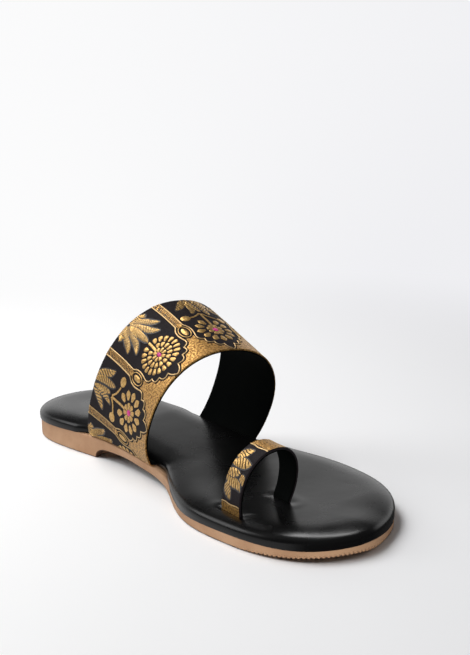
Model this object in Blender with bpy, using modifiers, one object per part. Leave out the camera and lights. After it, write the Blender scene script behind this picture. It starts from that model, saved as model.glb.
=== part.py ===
"""A flat toe-ring slide for the left foot: outsole, footbed, instep band and toe ring.

Run it with  blender --background --python part.py  or from Blender's text editor.

Tables and sizes are in millimetres and become metres in place(). +Z is up, the toe points to -Y and
the big-toe side is -X. The origin is on the floor, under the middle of the shoe. A "station" is the
distance from the back of the heel towards the toe.
"""

import math
from collections import namedtuple

import bmesh
import bpy
import numpy as np

# ---------------------------------------------------------------- driving sizes, in millimetres

MM = 0.001
SOLE_LENGTH = 250.0
MIDDLE_X = 0.2  # the middle of the whole shoe's box, which is where the origin goes
MIDDLE_STATION = 124.75
SEAT_GAP = 0.3  # between pieces that are cemented together on the real shoe
DECK_CHAMFER = 0.4
FOOTBED_HEIGHT = 6.6  # from the outsole's deck to the top of the footbed
BAND_WALL = 1.8
RING_WALL = 2.2
BAND_TUCK = 12.0  # how far the band's ends reach in under the footbed
BAND_OVERHANG = 0.5  # how far the band's feet stand out past the sole's edge
BAND_CORNER = 2.2  # reach of the rounded corner where the band turns in under
RING_TUCK = 8.0
RING_BEND = 1.2  # how far below the footbed's top the ring's legs turn upright
SLOT_GAP = 0.6  # round each leg of the ring where it goes down through the footbed
BREAST_START = 70.0  # station where the heel block's front face leaves the floor
BREAST_END = 79.0

COLLECTION_NAME = "toe_ring_slide"

# The sole's plan: how far its edge lies to each side of the middle line, at each station.
PlanRow = namedtuple("PlanRow", "station medial lateral")
SOLE_PLAN = (
    PlanRow(6, 18.1, 18.7),
    PlanRow(18, 27.6, 27.7),
    PlanRow(40, 30.1, 31.2),
    PlanRow(65, 27.3, 32.4),
    PlanRow(90, 24.8, 34.2),
    PlanRow(110, 24.9, 35.2),
    PlanRow(130, 26.9, 37.3),
    PlanRow(150, 36.3, 41.7),
    PlanRow(172, 45.1, 46.1),
    PlanRow(196, 46.1, 46.1),
    PlanRow(220, 42.7, 39.4),
    PlanRow(238, 33.1, 24.8),
    PlanRow(247, 20.1, 7.6),
)
HEEL_TIP_X = 0.9
TOE_TIP_X = -4.1

# Side profile: the deck that carries the footbed, and the underside in front of the heel.
HeightRow = namedtuple("HeightRow", "station height")
DECK = (
    HeightRow(0, 9.5),
    HeightRow(60, 11.4),
    HeightRow(75, 11.2),
    HeightRow(90, 10.3),
    HeightRow(115, 8.4),
    HeightRow(140, 6.5),
    HeightRow(165, 5.5),
    HeightRow(190, 5.4),
    HeightRow(220, 5.7),
    HeightRow(250, 6.4),
)
ARCH_UNDERSIDE = (
    HeightRow(BREAST_START, 5.4),
    HeightRow(90, 5.8),
    HeightRow(115, 3.9),
    HeightRow(140, 1.0),
    HeightRow(153, 0.0),
    HeightRow(205, 0.0),
    HeightRow(230, 0.8),
    HeightRow(250, 2.2),
)

# The size of the outsole's rounded lower edge, which grows from the heel to the toe.
SOLE_ROUND = (HeightRow(0, 0.7), HeightRow(80, 0.7), HeightRow(150, 1.2), HeightRow(250, 1.4))
ROUND_BULGE = 0.3  # the middle of the rounding, as a share of its size from each face

# The footbed's rolled edge, from its bottom corner up and over onto the flat top.
EdgeRow = namedtuple("EdgeRow", "inset rise")
FOOTBED_EDGE = (
    EdgeRow(0.9, 0.0),
    EdgeRow(0.3, 1.2),
    EdgeRow(0.2, 2.6),
    EdgeRow(0.6, 4.0),
    EdgeRow(1.6, 5.2),
    EdgeRow(3.1, 6.0),
    EdgeRow(5.4, 6.5),
    EdgeRow(9.0, 6.6),
)
HEEL_SWELL = 0.7  # how much fuller the footbed's edge is round the heel
HEEL_SWELL_END = 60.0
HEEL_SWELL_FADE = 20.0
# The band draws the footbed's edge in where it passes, and for a while ahead of its front edge.
NipRow = namedtuple("NipRow", "ahead medial lateral")
BAND_NIP = (
    NipRow(0, 3.3, 1.6),
    NipRow(10, 3.3, 0.9),
    NipRow(21, 2.4, 0.0),
    NipRow(31, 1.4, 0.0),
    NipRow(46, 0.4, 0.0),
    NipRow(60, 0.0, 0.0),
)
NIP_START = 1.5  # how soon the footbed is drawn in behind the band's back edge

# Each strap lies between two hoops, one at its back edge and one at its front edge. A hoop rises
# by "height" while it leans forward and sideways, and curls in past upright at its two feet.
HoopRow = namedtuple(
    "HoopRow", "medial_station lateral_station medial_curl lateral_curl height lean sideways fullness"
)
BAND_BACK = HoopRow(66.4, 84.8, 30.5, 26.0, 78.4, 35.1, -0.2, 2.22)
BAND_FRONT = HoopRow(119.3, 127.1, 44.7, 24.4, 64.5, 30.9, 1.5, 2.21)
RING_BACK = HoopRow(188.7, 195.1, 19.0, 18.0, 31.9, 8.2, 0.0, 2.1)
RING_FRONT = HoopRow(202.4, 208.1, 25.0, 29.0, 31.5, 8.0, -0.9, 2.17)
# Where the ring's feet meet the top of the footbed, from the middle line.
RingFeetRow = namedtuple("RingFeetRow", "medial_x lateral_x")
RING_BACK_FEET = RingFeetRow(-37.7, -9.5)
RING_FRONT_FEET = RingFeetRow(-38.7, -13.9)

CUTTER_SPARE = 2.0  # how far a cutter reaches past the surface that it opens

# Mesh fineness.
SPLINE_STEPS = 16
OUTLINE_STATIONS = 80
BREAST_STEPS = 8
HOOP_STEPS = 44
CORNER_STEPS = 5
BAND_STEPS = 12
RING_STEPS = 4


# ---------------------------------------------------------------- curves and heights


def closed_spline(knots, steps):
    """Points on the smooth closed curve through the knots, with `steps` points to each span."""
    knots = np.array(knots, float)
    count = len(knots)
    chord = np.linalg.norm(np.roll(knots, -1, axis=0) - knots, axis=1)
    system, known = np.zeros((count, count)), np.zeros_like(knots)
    for i in range(count):
        after = (i + 1) % count
        system[i, i - 1] += chord[i]
        system[i, i] += 2 * (chord[i - 1] + chord[i])
        system[i, after] += chord[i - 1]
        known[i] = 3 * (
            chord[i] / chord[i - 1] * (knots[i] - knots[i - 1])
            + chord[i - 1] / chord[i] * (knots[after] - knots[i])
        )
    tangent = np.linalg.solve(system, known)
    points = []
    for i in range(count):
        after = (i + 1) % count
        for t in np.arange(steps) / steps:
            points.append(
                (1 + 2 * t) * (1 - t) ** 2 * knots[i]
                + t * t * (3 - 2 * t) * knots[after]
                + chord[i] * t * (1 - t) * ((1 - t) * tangent[i] - t * tangent[after])
            )
    return np.array(points)


def height_at(rows, station):
    """Smooth height between the rows of a station and a height."""
    return smooth_between([row.station for row in rows], [row.height for row in rows], station)


def smooth_between(x, y, at):
    """The value at one place between known ones, never past them (monotone cubic)."""
    slope = [(y[i + 1] - y[i]) / (x[i + 1] - x[i]) for i in range(len(x) - 1)]
    tangent = [slope[0]]
    for left, right in zip(slope, slope[1:]):
        same_way = left * right > 0
        tangent.append(2 * left * right / (left + right) if same_way else 0.0)
    tangent.append(slope[-1])
    i = next((k for k in range(len(slope)) if at < x[k + 1]), len(slope) - 1)
    span = x[i + 1] - x[i]
    t = min(max((at - x[i]) / span, 0.0), 1.0)
    return (
        (1 + 2 * t) * (1 - t) ** 2 * y[i]
        + t * t * (3 - 2 * t) * y[i + 1]
        + span * t * (1 - t) * ((1 - t) * tangent[i] - t * tangent[i + 1])
    )


def deck_height(station):
    return height_at(DECK, station)


def underside_height(station):
    """Zero under the heel, then the hollow breast, the arch, the flat ball and the toe spring."""
    if station <= BREAST_START:
        return 0.0
    arch = height_at(ARCH_UNDERSIDE, station)
    if station >= BREAST_END:
        return arch
    t = (station - BREAST_START) / (BREAST_END - BREAST_START)
    return arch * math.sqrt(1 - (1 - t) ** 2)


def smooth_step(t):
    t = min(max(t, 0.0), 1.0)
    return t * t * (3 - 2 * t)


def place(x, station, height):
    """From the shoe's own millimetres to world metres."""
    return ((x - MIDDLE_X) * MM, (MIDDLE_STATION - station) * MM, height * MM)


# ---------------------------------------------------------------- the sole's outline

OutlinePoint = namedtuple("OutlinePoint", "station x normal_station normal_x")


def outline_stations():
    """Stations that crowd towards both round ends, and again at the heel's breast."""
    turns = [math.pi * i / OUTLINE_STATIONS for i in range(1, OUTLINE_STATIONS)]
    rounded = [SOLE_LENGTH / 2 * (1 - math.cos(turn)) for turn in turns]
    step = (BREAST_END - BREAST_START) / BREAST_STEPS
    breast = [BREAST_START + step * i for i in range(BREAST_STEPS + 1)]
    apart = [s for s in rounded if s < BREAST_START - step or s > BREAST_END + step]
    return sorted(apart + breast)


def dense_outline():
    """The edge as a close run of points: heel tip, medial side, toe tip, lateral side."""
    knots = [(0.0, HEEL_TIP_X)]
    knots += [(row.station, -row.medial) for row in SOLE_PLAN]
    knots += [(SOLE_LENGTH, TOE_TIP_X)]
    knots += [(row.station, row.lateral) for row in reversed(SOLE_PLAN)]
    points = closed_spline(knots, SPLINE_STEPS)
    along = np.roll(points, -1, axis=0) - np.roll(points, 1, axis=0)
    along /= np.linalg.norm(along, axis=1)[:, None]
    normals = np.stack([along[:, 1], -along[:, 0]], axis=1)
    return points, normals


def side_points(points, normals, stations):
    order = np.argsort(points[:, 0])
    columns = [points[order, 1], normals[order, 0], normals[order, 1]]
    values = [np.interp(stations, points[order, 0], column) for column in columns]
    return [OutlinePoint(*row) for row in zip(stations, *values)]


DENSE_POINTS, DENSE_NORMALS = dense_outline()
TOE_INDEX = int(DENSE_POINTS[:, 0].argmax())
STATIONS = outline_stations()


def side_of_sole(medial, stations=STATIONS):
    part = slice(0, TOE_INDEX + 1) if medial else slice(TOE_INDEX, None)
    return side_points(DENSE_POINTS[part], DENSE_NORMALS[part], stations)


def edge_x(medial, station):
    return side_of_sole(medial, [station])[0].x


OUTLINE = (
    [OutlinePoint(0.0, HEEL_TIP_X, -1.0, 0.0)]
    + side_of_sole(True)
    + [OutlinePoint(SOLE_LENGTH, TOE_TIP_X, 1.0, 0.0)]
    + side_of_sole(False)[::-1]
)


def ring(inset, height):
    """The outline drawn in by inset(outline point), each point at height(station)."""
    points = []
    for p in OUTLINE:
        drawn = inset(p)
        station = p.station - drawn * p.normal_station
        points.append(place(p.x - drawn * p.normal_x, station, height(station)))
    return points


# ---------------------------------------------------------------- mesh building


def new_object(name, mesh, collection, material=None):
    obj = bpy.data.objects.new(name, mesh)
    collection.objects.link(obj)
    if material:
        mesh.materials.append(material)
    return obj


def finish_mesh(name, bm):
    bmesh.ops.recalc_face_normals(bm, faces=bm.faces)
    mesh = bpy.data.meshes.new(name)
    bm.to_mesh(mesh)
    bm.free()
    return mesh


def loft_rings(name, rings):
    """A closed body through rings of equal length. The end rings are closed from side to side."""
    bm = bmesh.new()
    loops = [[bm.verts.new(point) for point in one] for one in rings]
    size = len(loops[0])
    for low, high in zip(loops, loops[1:]):
        for i in range(size):
            after = (i + 1) % size
            bm.faces.new((low[i], low[after], high[after], high[i]))
    for loop in (loops[0], loops[-1]):
        bm.faces.new((loop[0], loop[1], loop[-1]))
        for i in range(1, size // 2 - 1):
            bm.faces.new((loop[i], loop[i + 1], loop[-i - 1], loop[-i]))
        middle = size // 2
        bm.faces.new((loop[middle - 1], loop[middle], loop[middle + 1]))
    return finish_mesh(name, bm)


def sheet(name, rows):
    """An open surface through rows of points."""
    bm = bmesh.new()
    grid = [[bm.verts.new(point) for point in row] for row in rows]
    for low, high in zip(grid, grid[1:]):
        for i in range(len(low) - 1):
            bm.faces.new((low[i], high[i], high[i + 1], low[i + 1]))
    mesh = bpy.data.meshes.new(name)
    bm.to_mesh(mesh)
    bm.free()
    return mesh


def smooth(mesh, degrees):
    mesh.shade_smooth()
    mesh.set_sharp_from_angle(angle=math.radians(degrees))


def material(name, colour, roughness, metallic=0.0):
    made = bpy.data.materials.new(name)
    made.use_nodes = True
    shader = made.node_tree.nodes["Principled BSDF"]
    shader.inputs["Base Color"].default_value = (*colour, 1.0)
    shader.inputs["Roughness"].default_value = roughness
    shader.inputs["Metallic"].default_value = metallic
    made.diffuse_color = (*colour, 1.0)
    return made


# ---------------------------------------------------------------- straps


def hoop(near, far, row):
    """The curve from one foot over the top to the other: a full arch that curls in at its feet."""
    start = -math.radians(row.medial_curl)
    stop = math.pi + math.radians(row.lateral_curl)
    power = 2 / row.fullness
    turns = np.linspace(start, stop, 6 * HOOP_STEPS)
    across = -np.sign(np.cos(turns)) * np.abs(np.cos(turns)) ** power
    up = np.sign(np.sin(turns)) * np.abs(np.sin(turns)) ** power
    across = (across - across[0]) / (across[-1] - across[0])
    up = up - up[0] * (1 - across) - up[-1] * across
    up /= up.max()
    rise = np.array([row.sideways, row.lean, row.height])
    return near + np.outer(across, far - near) + np.outer(up, rise)


def evenly(points, steps):
    """The same curve as steps + 1 points, equally far apart along it."""
    along = np.r_[0, np.cumsum(np.linalg.norm(np.diff(points, axis=0), axis=1))]
    wanted = np.linspace(0, along[-1], steps + 1)
    return np.stack([np.interp(wanted, along, points[:, k]) for k in range(3)], axis=1)


def corner(before, at, after):
    """A rounded corner: a quadratic curve from before to after, pulled towards at."""
    t = np.linspace(0, 1, CORNER_STEPS + 1)[:, None]
    return (1 - t) ** 2 * before + 2 * t * (1 - t) * at + t * t * after


def trim(points, reach):
    """The curve without the stretch of this length at each end."""
    along = np.r_[0, np.cumsum(np.linalg.norm(np.diff(points, axis=0), axis=1))]
    kept = (along >= reach) & (along <= along[-1] - reach)
    return points[kept]


def between(back, front, share):
    return HoopRow(*[a + (b - a) * share for a, b in zip(back, front)])


def band_section(share):
    """One line over the instep, from tuck to tuck, as points of (x, station, height)."""
    row = between(BAND_BACK, BAND_FRONT, share)
    feet = []
    for medial, station in ((True, row.medial_station), (False, row.lateral_station)):
        outwards = -1 if medial else 1
        x = edge_x(medial, station) + outwards * BAND_OVERHANG
        feet.append(np.array((x, station, deck_height(station) + SEAT_GAP)))
    near, far = feet
    inwards = np.array([1.0, 0.0, 0.0])
    arch = evenly(trim(hoop(near, far, row), BAND_CORNER), HOOP_STEPS)
    return np.concatenate(
        [
            [near + inwards * BAND_TUCK],
            corner(near + inwards * BAND_CORNER, near, arch[0]),
            arch[1:-1],
            corner(arch[-1], far, far - inwards * BAND_CORNER),
            [far - inwards * BAND_TUCK],
        ]
    )


def ring_feet(share):
    """The two points where the ring's outer face meets the top of the footbed."""
    row = between(RING_BACK, RING_FRONT, share)
    medial_x = RING_BACK_FEET.medial_x + (RING_FRONT_FEET.medial_x - RING_BACK_FEET.medial_x) * share
    lateral_x = RING_BACK_FEET.lateral_x + (RING_FRONT_FEET.lateral_x - RING_BACK_FEET.lateral_x) * share
    spots = ((medial_x, row.medial_station), (lateral_x, row.lateral_station))
    return row, [np.array((x, s, deck_height(s) + FOOTBED_HEIGHT)) for x, s in spots]


def ring_section(share):
    """One line round the toe: tab, leg, hoop, leg and tab, as points of (x, station, height)."""
    row, (near, far) = ring_feet(share)
    inwards = (far - near) / np.linalg.norm(far - near)
    down = np.array([0.0, 0.0, -1.0])
    reach = 1.5 * RING_WALL
    leg = FOOTBED_HEIGHT - SEAT_GAP
    arch = evenly(trim(hoop(near, far, row), reach), HOOP_STEPS)
    heel_near, heel_far = near + down * leg, far + down * leg
    return np.concatenate(
        [
            [heel_near + inwards * RING_TUCK],
            corner(heel_near + inwards * reach, heel_near, heel_near - down * reach),
            corner(near + down * RING_BEND, near, arch[0]),
            arch[1:-1],
            corner(arch[-1], far, far + down * RING_BEND),
            corner(heel_far - down * reach, heel_far, heel_far - inwards * reach),
            [heel_far - inwards * RING_TUCK],
        ]
    )


def strap(name, section, steps, wall, collection, finish):
    """The strap's outer face as a sheet of sections, thickened inwards to a wall."""
    rows = [[place(*p) for p in section(k / steps)] for k in range(steps + 1)]
    mesh = sheet(name, rows)
    obj = new_object(name, mesh, collection, finish)
    thicken = obj.modifiers.new("wall", "SOLIDIFY")
    thicken.thickness = wall * MM
    thicken.offset = -1.0
    thicken.use_even_offset = True
    smooth(mesh, 50)
    return obj


# ---------------------------------------------------------------- sole and footbed


def make_outsole(collection, finish):
    """One moulded piece: deck, straight side, rounded lower edge, heel block and arch."""

    def rounding(station):
        return height_at(SOLE_ROUND, station)

    rings = [
        ring(lambda p: DECK_CHAMFER, deck_height),
        ring(lambda p: 0.0, lambda s: deck_height(s) - DECK_CHAMFER),
        ring(lambda p: 0.0, lambda s: underside_height(s) + rounding(s)),
        ring(
            lambda p: ROUND_BULGE * rounding(p.station),
            lambda s: underside_height(s) + ROUND_BULGE * rounding(s),
        ),
        ring(lambda p: rounding(p.station), underside_height),
    ]
    mesh = loft_rings("outsole", rings)
    smooth(mesh, 35)
    return new_object("outsole", mesh, collection, finish)


def drawn_in(point):
    """How far the footbed's edge is drawn in at one point of the outline. Round the heel it swells."""
    side = "medial" if point.normal_x < 0 else "lateral"
    first = getattr(BAND_BACK, side + "_station")
    last = getattr(BAND_FRONT, side + "_station")
    ahead = [row.ahead for row in BAND_NIP]
    drawn = [getattr(row, side) for row in BAND_NIP]
    started = smooth_step((point.station - first) / NIP_START + 1)
    swollen = smooth_step((HEEL_SWELL_END - point.station) / HEEL_SWELL_FADE)
    return started * smooth_between(ahead, drawn, point.station - last) - HEEL_SWELL * swollen


def make_footbed(collection, finish):
    """A pad with a rolled edge that covers the deck, drawn in where the band passes it."""
    rings = []
    for row in FOOTBED_EDGE:
        lift = SEAT_GAP + row.rise * (FOOTBED_HEIGHT - SEAT_GAP) / FOOTBED_EDGE[-1].rise
        rings.append(
            ring(
                lambda p, inset=row.inset: inset + drawn_in(p),
                lambda s, lift=lift: deck_height(s) + lift,
            )
        )
    mesh = loft_rings("footbed", rings)
    smooth(mesh, 50)
    return new_object("footbed", mesh, collection, finish)


def prism(name, stations, low_x, high_x, low_lift, high_lift, collection):
    """A cutter that follows the deck: a block between two edges and two heights above it."""
    bm = bmesh.new()
    frames = []
    for s in stations:
        corners = (
            (low_x(s), low_lift),
            (high_x(s), low_lift),
            (high_x(s), high_lift),
            (low_x(s), high_lift),
        )
        frames.append([bm.verts.new(place(x, s, deck_height(s) + lift)) for x, lift in corners])
    for back, front in zip(frames, frames[1:]):
        for i in range(4):
            bm.faces.new((back[i], back[i - 1], front[i - 1], front[i]))
    bm.faces.new(frames[0])
    bm.faces.new(frames[-1][::-1])
    cutter = new_object(name, finish_mesh(name, bm), collection)
    cutter.hide_render = True
    cutter.display_type = "WIRE"
    return cutter


def band_recess(name, medial, collection):
    """The hollow under the footbed that takes one turned-in end of the band."""
    key = "medial_station" if medial else "lateral_station"
    first = getattr(BAND_BACK, key) - 2 * SEAT_GAP
    last = getattr(BAND_FRONT, key) + 2 * SEAT_GAP
    inwards = 1 if medial else -1
    stations = np.linspace(first, last, 12)

    def edge(shift):
        return lambda s: edge_x(medial, s) + inwards * shift

    edges = (edge(-2 * CUTTER_SPARE), edge(BAND_TUCK + 2 * SEAT_GAP))
    top = BAND_WALL + 2 * SEAT_GAP
    prism(name, stations, *edges[::inwards], -CUTTER_SPARE, top, collection)


def ring_slot(name, medial, collection):
    """The slit that one leg of the ring goes down, and the hollow under it for the leg's tab."""
    station = "medial_station" if medial else "lateral_station"
    foot = "medial_x" if medial else "lateral_x"
    back_station, front_station = getattr(RING_BACK, station), getattr(RING_FRONT, station)
    back_x, front_x = getattr(RING_BACK_FEET, foot), getattr(RING_FRONT_FEET, foot)
    inwards = 1 if medial else -1
    # The leg's outer face crosses the sole at a slant, so its wall is longer when measured along x,
    # and the inner face lies a little behind or ahead of the outer one. The tabs slant as well.
    slope = (front_x - back_x) / (front_station - back_station)
    stretch = math.hypot(1, slope)
    drift = -inwards * slope / stretch * RING_WALL
    run = RING_BACK_FEET.lateral_x - RING_BACK_FEET.medial_x
    slant = inwards * (RING_BACK.lateral_station - RING_BACK.medial_station) / run * RING_TUCK

    def edge(shift):
        return lambda s: back_x + slope * (s - back_station) + inwards * shift

    def block(kind, reach, depth, top):
        first = back_station + min(0.0, reach) - SLOT_GAP
        last = front_station + max(0.0, reach) + SLOT_GAP
        edges = (edge(-SLOT_GAP), edge(depth))
        stations = np.linspace(first, last, 4)
        prism(f"{name}_{kind}", stations, *edges[::inwards], -CUTTER_SPARE, top, collection)

    block("slit", drift, RING_WALL * stretch + SLOT_GAP, FOOTBED_HEIGHT + CUTTER_SPARE)
    block("hollow", drift + slant, RING_TUCK + 2 * SLOT_GAP, RING_WALL + 2 * SEAT_GAP)


def cut(obj, cutters):
    boolean = obj.modifiers.new("slits and hollows", "BOOLEAN")
    boolean.operation = "DIFFERENCE"
    boolean.operand_type = "COLLECTION"
    boolean.collection = cutters
    boolean.solver = "EXACT"


# ---------------------------------------------------------------- assembly


def clear_scene():
    for obj in list(bpy.data.objects):
        bpy.data.objects.remove(obj, do_unlink=True)


def new_collection(name):
    made = bpy.data.collections.new(name)
    bpy.context.scene.collection.children.link(made)
    return made


def main():
    clear_scene()
    shoe = new_collection(COLLECTION_NAME)
    cutters = new_collection("cutters")
    cutters.hide_render = True

    tan_rubber = material("tan_rubber", (0.42, 0.26, 0.17), 0.55)
    leatherette = material("black_leatherette", (0.012, 0.012, 0.013), 0.42)
    brocade = material("brocade", (0.36, 0.23, 0.08), 0.5, 0.5)
    ring_brocade = material("ring_brocade", (0.40, 0.26, 0.09), 0.5, 0.5)

    make_outsole(shoe, tan_rubber)
    footbed = make_footbed(shoe, leatherette)
    for side, medial in (("medial", True), ("lateral", False)):
        band_recess(f"band_recess_{side}", medial, cutters)
        ring_slot(f"ring_{side}", medial, cutters)
    cut(footbed, cutters)
    strap("instep_band", band_section, BAND_STEPS, BAND_WALL, shoe, brocade)
    strap("toe_ring", ring_section, RING_STEPS, RING_WALL, shoe, ring_brocade)


main()
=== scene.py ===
# %% [markdown]
# # A toe-ring slide in brocade and black leatherette
# The shoe is a flat slide for the left foot. A maker puts it together from few pieces: a moulded
# rubber sole, a padded footbed covered in leatherette, a wide strap over the instep and a narrow
# ring for the big toe. Both straps are cut from one length of brocade, a black cloth with figures
# in gold thread, and lined in black.
#
# The construction is already there as a fixed frame of solids. This lesson makes what the eye
# sees: it keeps to the frame's sizes, builds each piece again as a fine mesh, weaves the brocade's
# figures as thin raised threads, and gives every surface a finish made of shader nodes.

# %% Load the frame
import math
import random
from collections import namedtuple

import bmesh
import bpy
import numpy as np
from mathutils import Matrix, Vector


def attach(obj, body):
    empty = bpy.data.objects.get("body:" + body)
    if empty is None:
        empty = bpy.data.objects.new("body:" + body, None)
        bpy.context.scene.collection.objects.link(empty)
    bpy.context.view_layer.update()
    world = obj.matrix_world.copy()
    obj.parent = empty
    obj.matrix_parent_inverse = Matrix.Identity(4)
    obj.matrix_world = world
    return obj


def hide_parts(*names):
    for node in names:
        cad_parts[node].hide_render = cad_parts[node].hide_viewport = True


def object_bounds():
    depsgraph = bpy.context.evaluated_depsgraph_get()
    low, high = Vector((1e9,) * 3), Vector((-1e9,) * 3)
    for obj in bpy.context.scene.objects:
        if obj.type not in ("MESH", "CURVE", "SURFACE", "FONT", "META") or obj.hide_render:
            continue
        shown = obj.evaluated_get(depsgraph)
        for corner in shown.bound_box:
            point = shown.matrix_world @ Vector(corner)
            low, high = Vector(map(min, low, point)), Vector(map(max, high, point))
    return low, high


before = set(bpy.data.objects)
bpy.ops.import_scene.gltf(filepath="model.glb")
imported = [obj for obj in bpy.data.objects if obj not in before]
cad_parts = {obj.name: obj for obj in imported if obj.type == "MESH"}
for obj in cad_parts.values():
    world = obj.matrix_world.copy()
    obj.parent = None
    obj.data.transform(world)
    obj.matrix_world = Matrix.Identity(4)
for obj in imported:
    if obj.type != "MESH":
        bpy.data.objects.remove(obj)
cad_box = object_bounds()
cad_low, cad_high = (np.array(corner) for corner in cad_box)
print("frame, mm:", np.round((cad_high - cad_low) * 1000, 1))

# %% [markdown]
# ## Camera
# The camera stands low in front of the toe, on the big-toe side. Its direction is given as an
# azimuth and an elevation round the point that it looks at, with a slight roll.

# %% Camera
MM = 0.001
SENSOR, LENS = 36.0, 61.56
CAMERA_AIM = Vector((27.9, 0.6, 73.0)) * MM
CAMERA_AZIMUTH, CAMERA_ELEVATION, CAMERA_ROLL = (math.radians(a) for a in (-41.0, 14.2, -0.8))
CAMERA_DISTANCE = 586 * MM


def direction(azimuth, elevation=0.0):
    """The unit vector from what is looked at towards the eye. Azimuth 0 looks along +Y."""
    flat = math.cos(elevation)
    return Vector((math.sin(azimuth) * flat, -math.cos(azimuth) * flat, math.sin(elevation)))


def put_in_scene(name, data):
    made = bpy.data.objects.new(name, data)
    bpy.context.scene.collection.objects.link(made)
    return made


def make_camera():
    back = direction(CAMERA_AZIMUTH, CAMERA_ELEVATION)
    right = Vector((0, 0, 1)).cross(back).normalized()
    turn = Matrix((right, back.cross(right), back)).transposed()
    turn = turn @ Matrix.Rotation(CAMERA_ROLL, 3, "Z")
    data = bpy.data.cameras.new("camera")
    data.sensor_fit = "VERTICAL"
    data.sensor_height = SENSOR
    data.lens = LENS
    data.clip_start = 0.01
    made = put_in_scene("camera", data)
    made.matrix_world = Matrix.Translation(CAMERA_AIM + back * CAMERA_DISTANCE) @ turn.to_4x4()
    bpy.context.scene.camera = made
    return made


camera = make_camera()
print("camera at, mm:", [round(c * 1000) for c in camera.location], "lens", round(camera.data.lens, 1))

# %% [markdown]
# ## Shader helpers
# Every finish below is a small tree of shader nodes. These helpers add a node, set its sockets and
# link it, so that each material reads as a short list of steps.

# %% Shader helpers
Finish = namedtuple("Finish", "material nodes shader")


def new_finish(name, **sockets):
    """A material with one Principled shader, whose sockets are set by name."""
    made = bpy.data.materials.new(name)
    made.use_nodes = True
    shader = made.node_tree.nodes["Principled BSDF"]
    for socket, value in sockets.items():
        shader.inputs[socket.replace("_", " ")].default_value = value
    return Finish(made, made.node_tree, shader)


def feed(finish, name, socket):
    """Drive one of the finish's own sockets."""
    finish.nodes.links.new(socket, finish.shader.inputs[name])


def add(tree, kind, inputs=None, **settings):
    """A node with its settings. An input takes a value, or the socket that feeds it."""
    node = tree.nodes.new(kind)
    for name, value in settings.items():
        setattr(node, name, value)
    for name, value in (inputs or {}).items():
        if isinstance(value, bpy.types.NodeSocket):
            tree.links.new(value, node.inputs[name])
        else:
            node.inputs[name].default_value = value
    return node


def maths(tree, operation, a, b=0.0, c=0.0):
    return add(tree, "ShaderNodeMath", {0: a, 1: b, 2: c}, operation=operation).outputs[0]


def along_way(tree, where, way):
    """How far a place, or a direction, reaches along a direction."""
    inputs = {0: where, 1: way}
    return add(tree, "ShaderNodeVectorMath", inputs, operation="DOT_PRODUCT").outputs["Value"]


print("node helpers ready")

# %% [markdown]
# The next helpers are the small steps that every finish uses: a smooth fade, a mix of two colours,
# noise, a bump, and the place on the object or along the cloth that a pattern follows.

# %% Fades, noise and bumps


def fade(tree, value, low, high, start=0.0, stop=1.0):
    """start where the value is low, stop where it is high, and smooth between."""
    inputs = {"Value": value, "From Min": low, "From Max": high, "To Min": start, "To Max": stop}
    kind = "ShaderNodeMapRange"
    return add(tree, kind, inputs, interpolation_type="SMOOTHSTEP").outputs["Result"]


def blend(tree, share, a, b, mode="MIX"):
    """Two colours mixed by a share."""
    inputs = {0: share, 6: a, 7: b}
    return add(tree, "ShaderNodeMix", inputs, data_type="RGBA", blend_type=mode).outputs[2]


def noise(tree, where, scale, detail=2.0, roughness=0.5):
    """Noise from 0 to 1. The scale is in features to a metre, or to a millimetre on mapped cloth."""
    inputs = {"Vector": where, "Scale": scale, "Detail": detail, "Roughness": roughness}
    return add(tree, "ShaderNodeTexNoise", inputs).outputs["Fac"]


def bump(finish, height, distance, strength=1.0):
    """The height, from 0 to 1, stands proud by the distance in metres."""
    inputs = {"Height": height, "Distance": distance, "Strength": strength}
    feed(finish, "Normal", add(finish.nodes, "ShaderNodeBump", inputs).outputs["Normal"])


def object_place(tree):
    return add(tree, "ShaderNodeTexCoord").outputs["Object"]


def cloth_place(tree, turn=0.0):
    """The piece's UV map, which is in metres along the cloth, as millimetres."""
    uv = add(tree, "ShaderNodeUVMap", uv_map="cloth").outputs["UV"]
    inputs = {"Vector": uv, "Scale": (1000, 1000, 1000), "Rotation": (0, 0, turn)}
    return add(tree, "ShaderNodeMapping", inputs).outputs["Vector"]


print("helpers ready")

# %% [markdown]
# ## Floor
# The shoe stands on a plain pale floor that melts into a pale backdrop: away from the shoe the
# floor's own colour fades to the backdrop's, which glows. Both are painted a little darker to the right,
# as painted shade for light that falls off on that side. One big disc
# does it, where a curved sheet would show its bend. The leather mirrors a room that is drawn in
# the sky, so the real floor is kept out of reflections.

# %% Floor
# the second colour of each pair is painted shade, for the light falling off to the right
PALE, PALE_PAINTED_SHADE = (0.97, 0.97, 0.975, 1.0), (0.86, 0.86, 0.885, 1.0)
PAPER, PAPER_PAINTED_SHADE = (0.93, 0.93, 0.93, 1), (0.92, 0.92, 0.94, 1)
FLOOR_RADIUS, MELT_START, MELT_END = 12.0, 0.22, 0.55
ACROSS_PICTURE = (0.755, -0.656, 0)


def backdrop_colour(tree, bearing):
    # painted shade: the backdrop's colour darkens towards the right
    return blend(tree, fade(tree, along_way(tree, bearing, ACROSS_PICTURE), -0.3, 0.4), PALE, PALE_PAINTED_SHADE)


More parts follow.
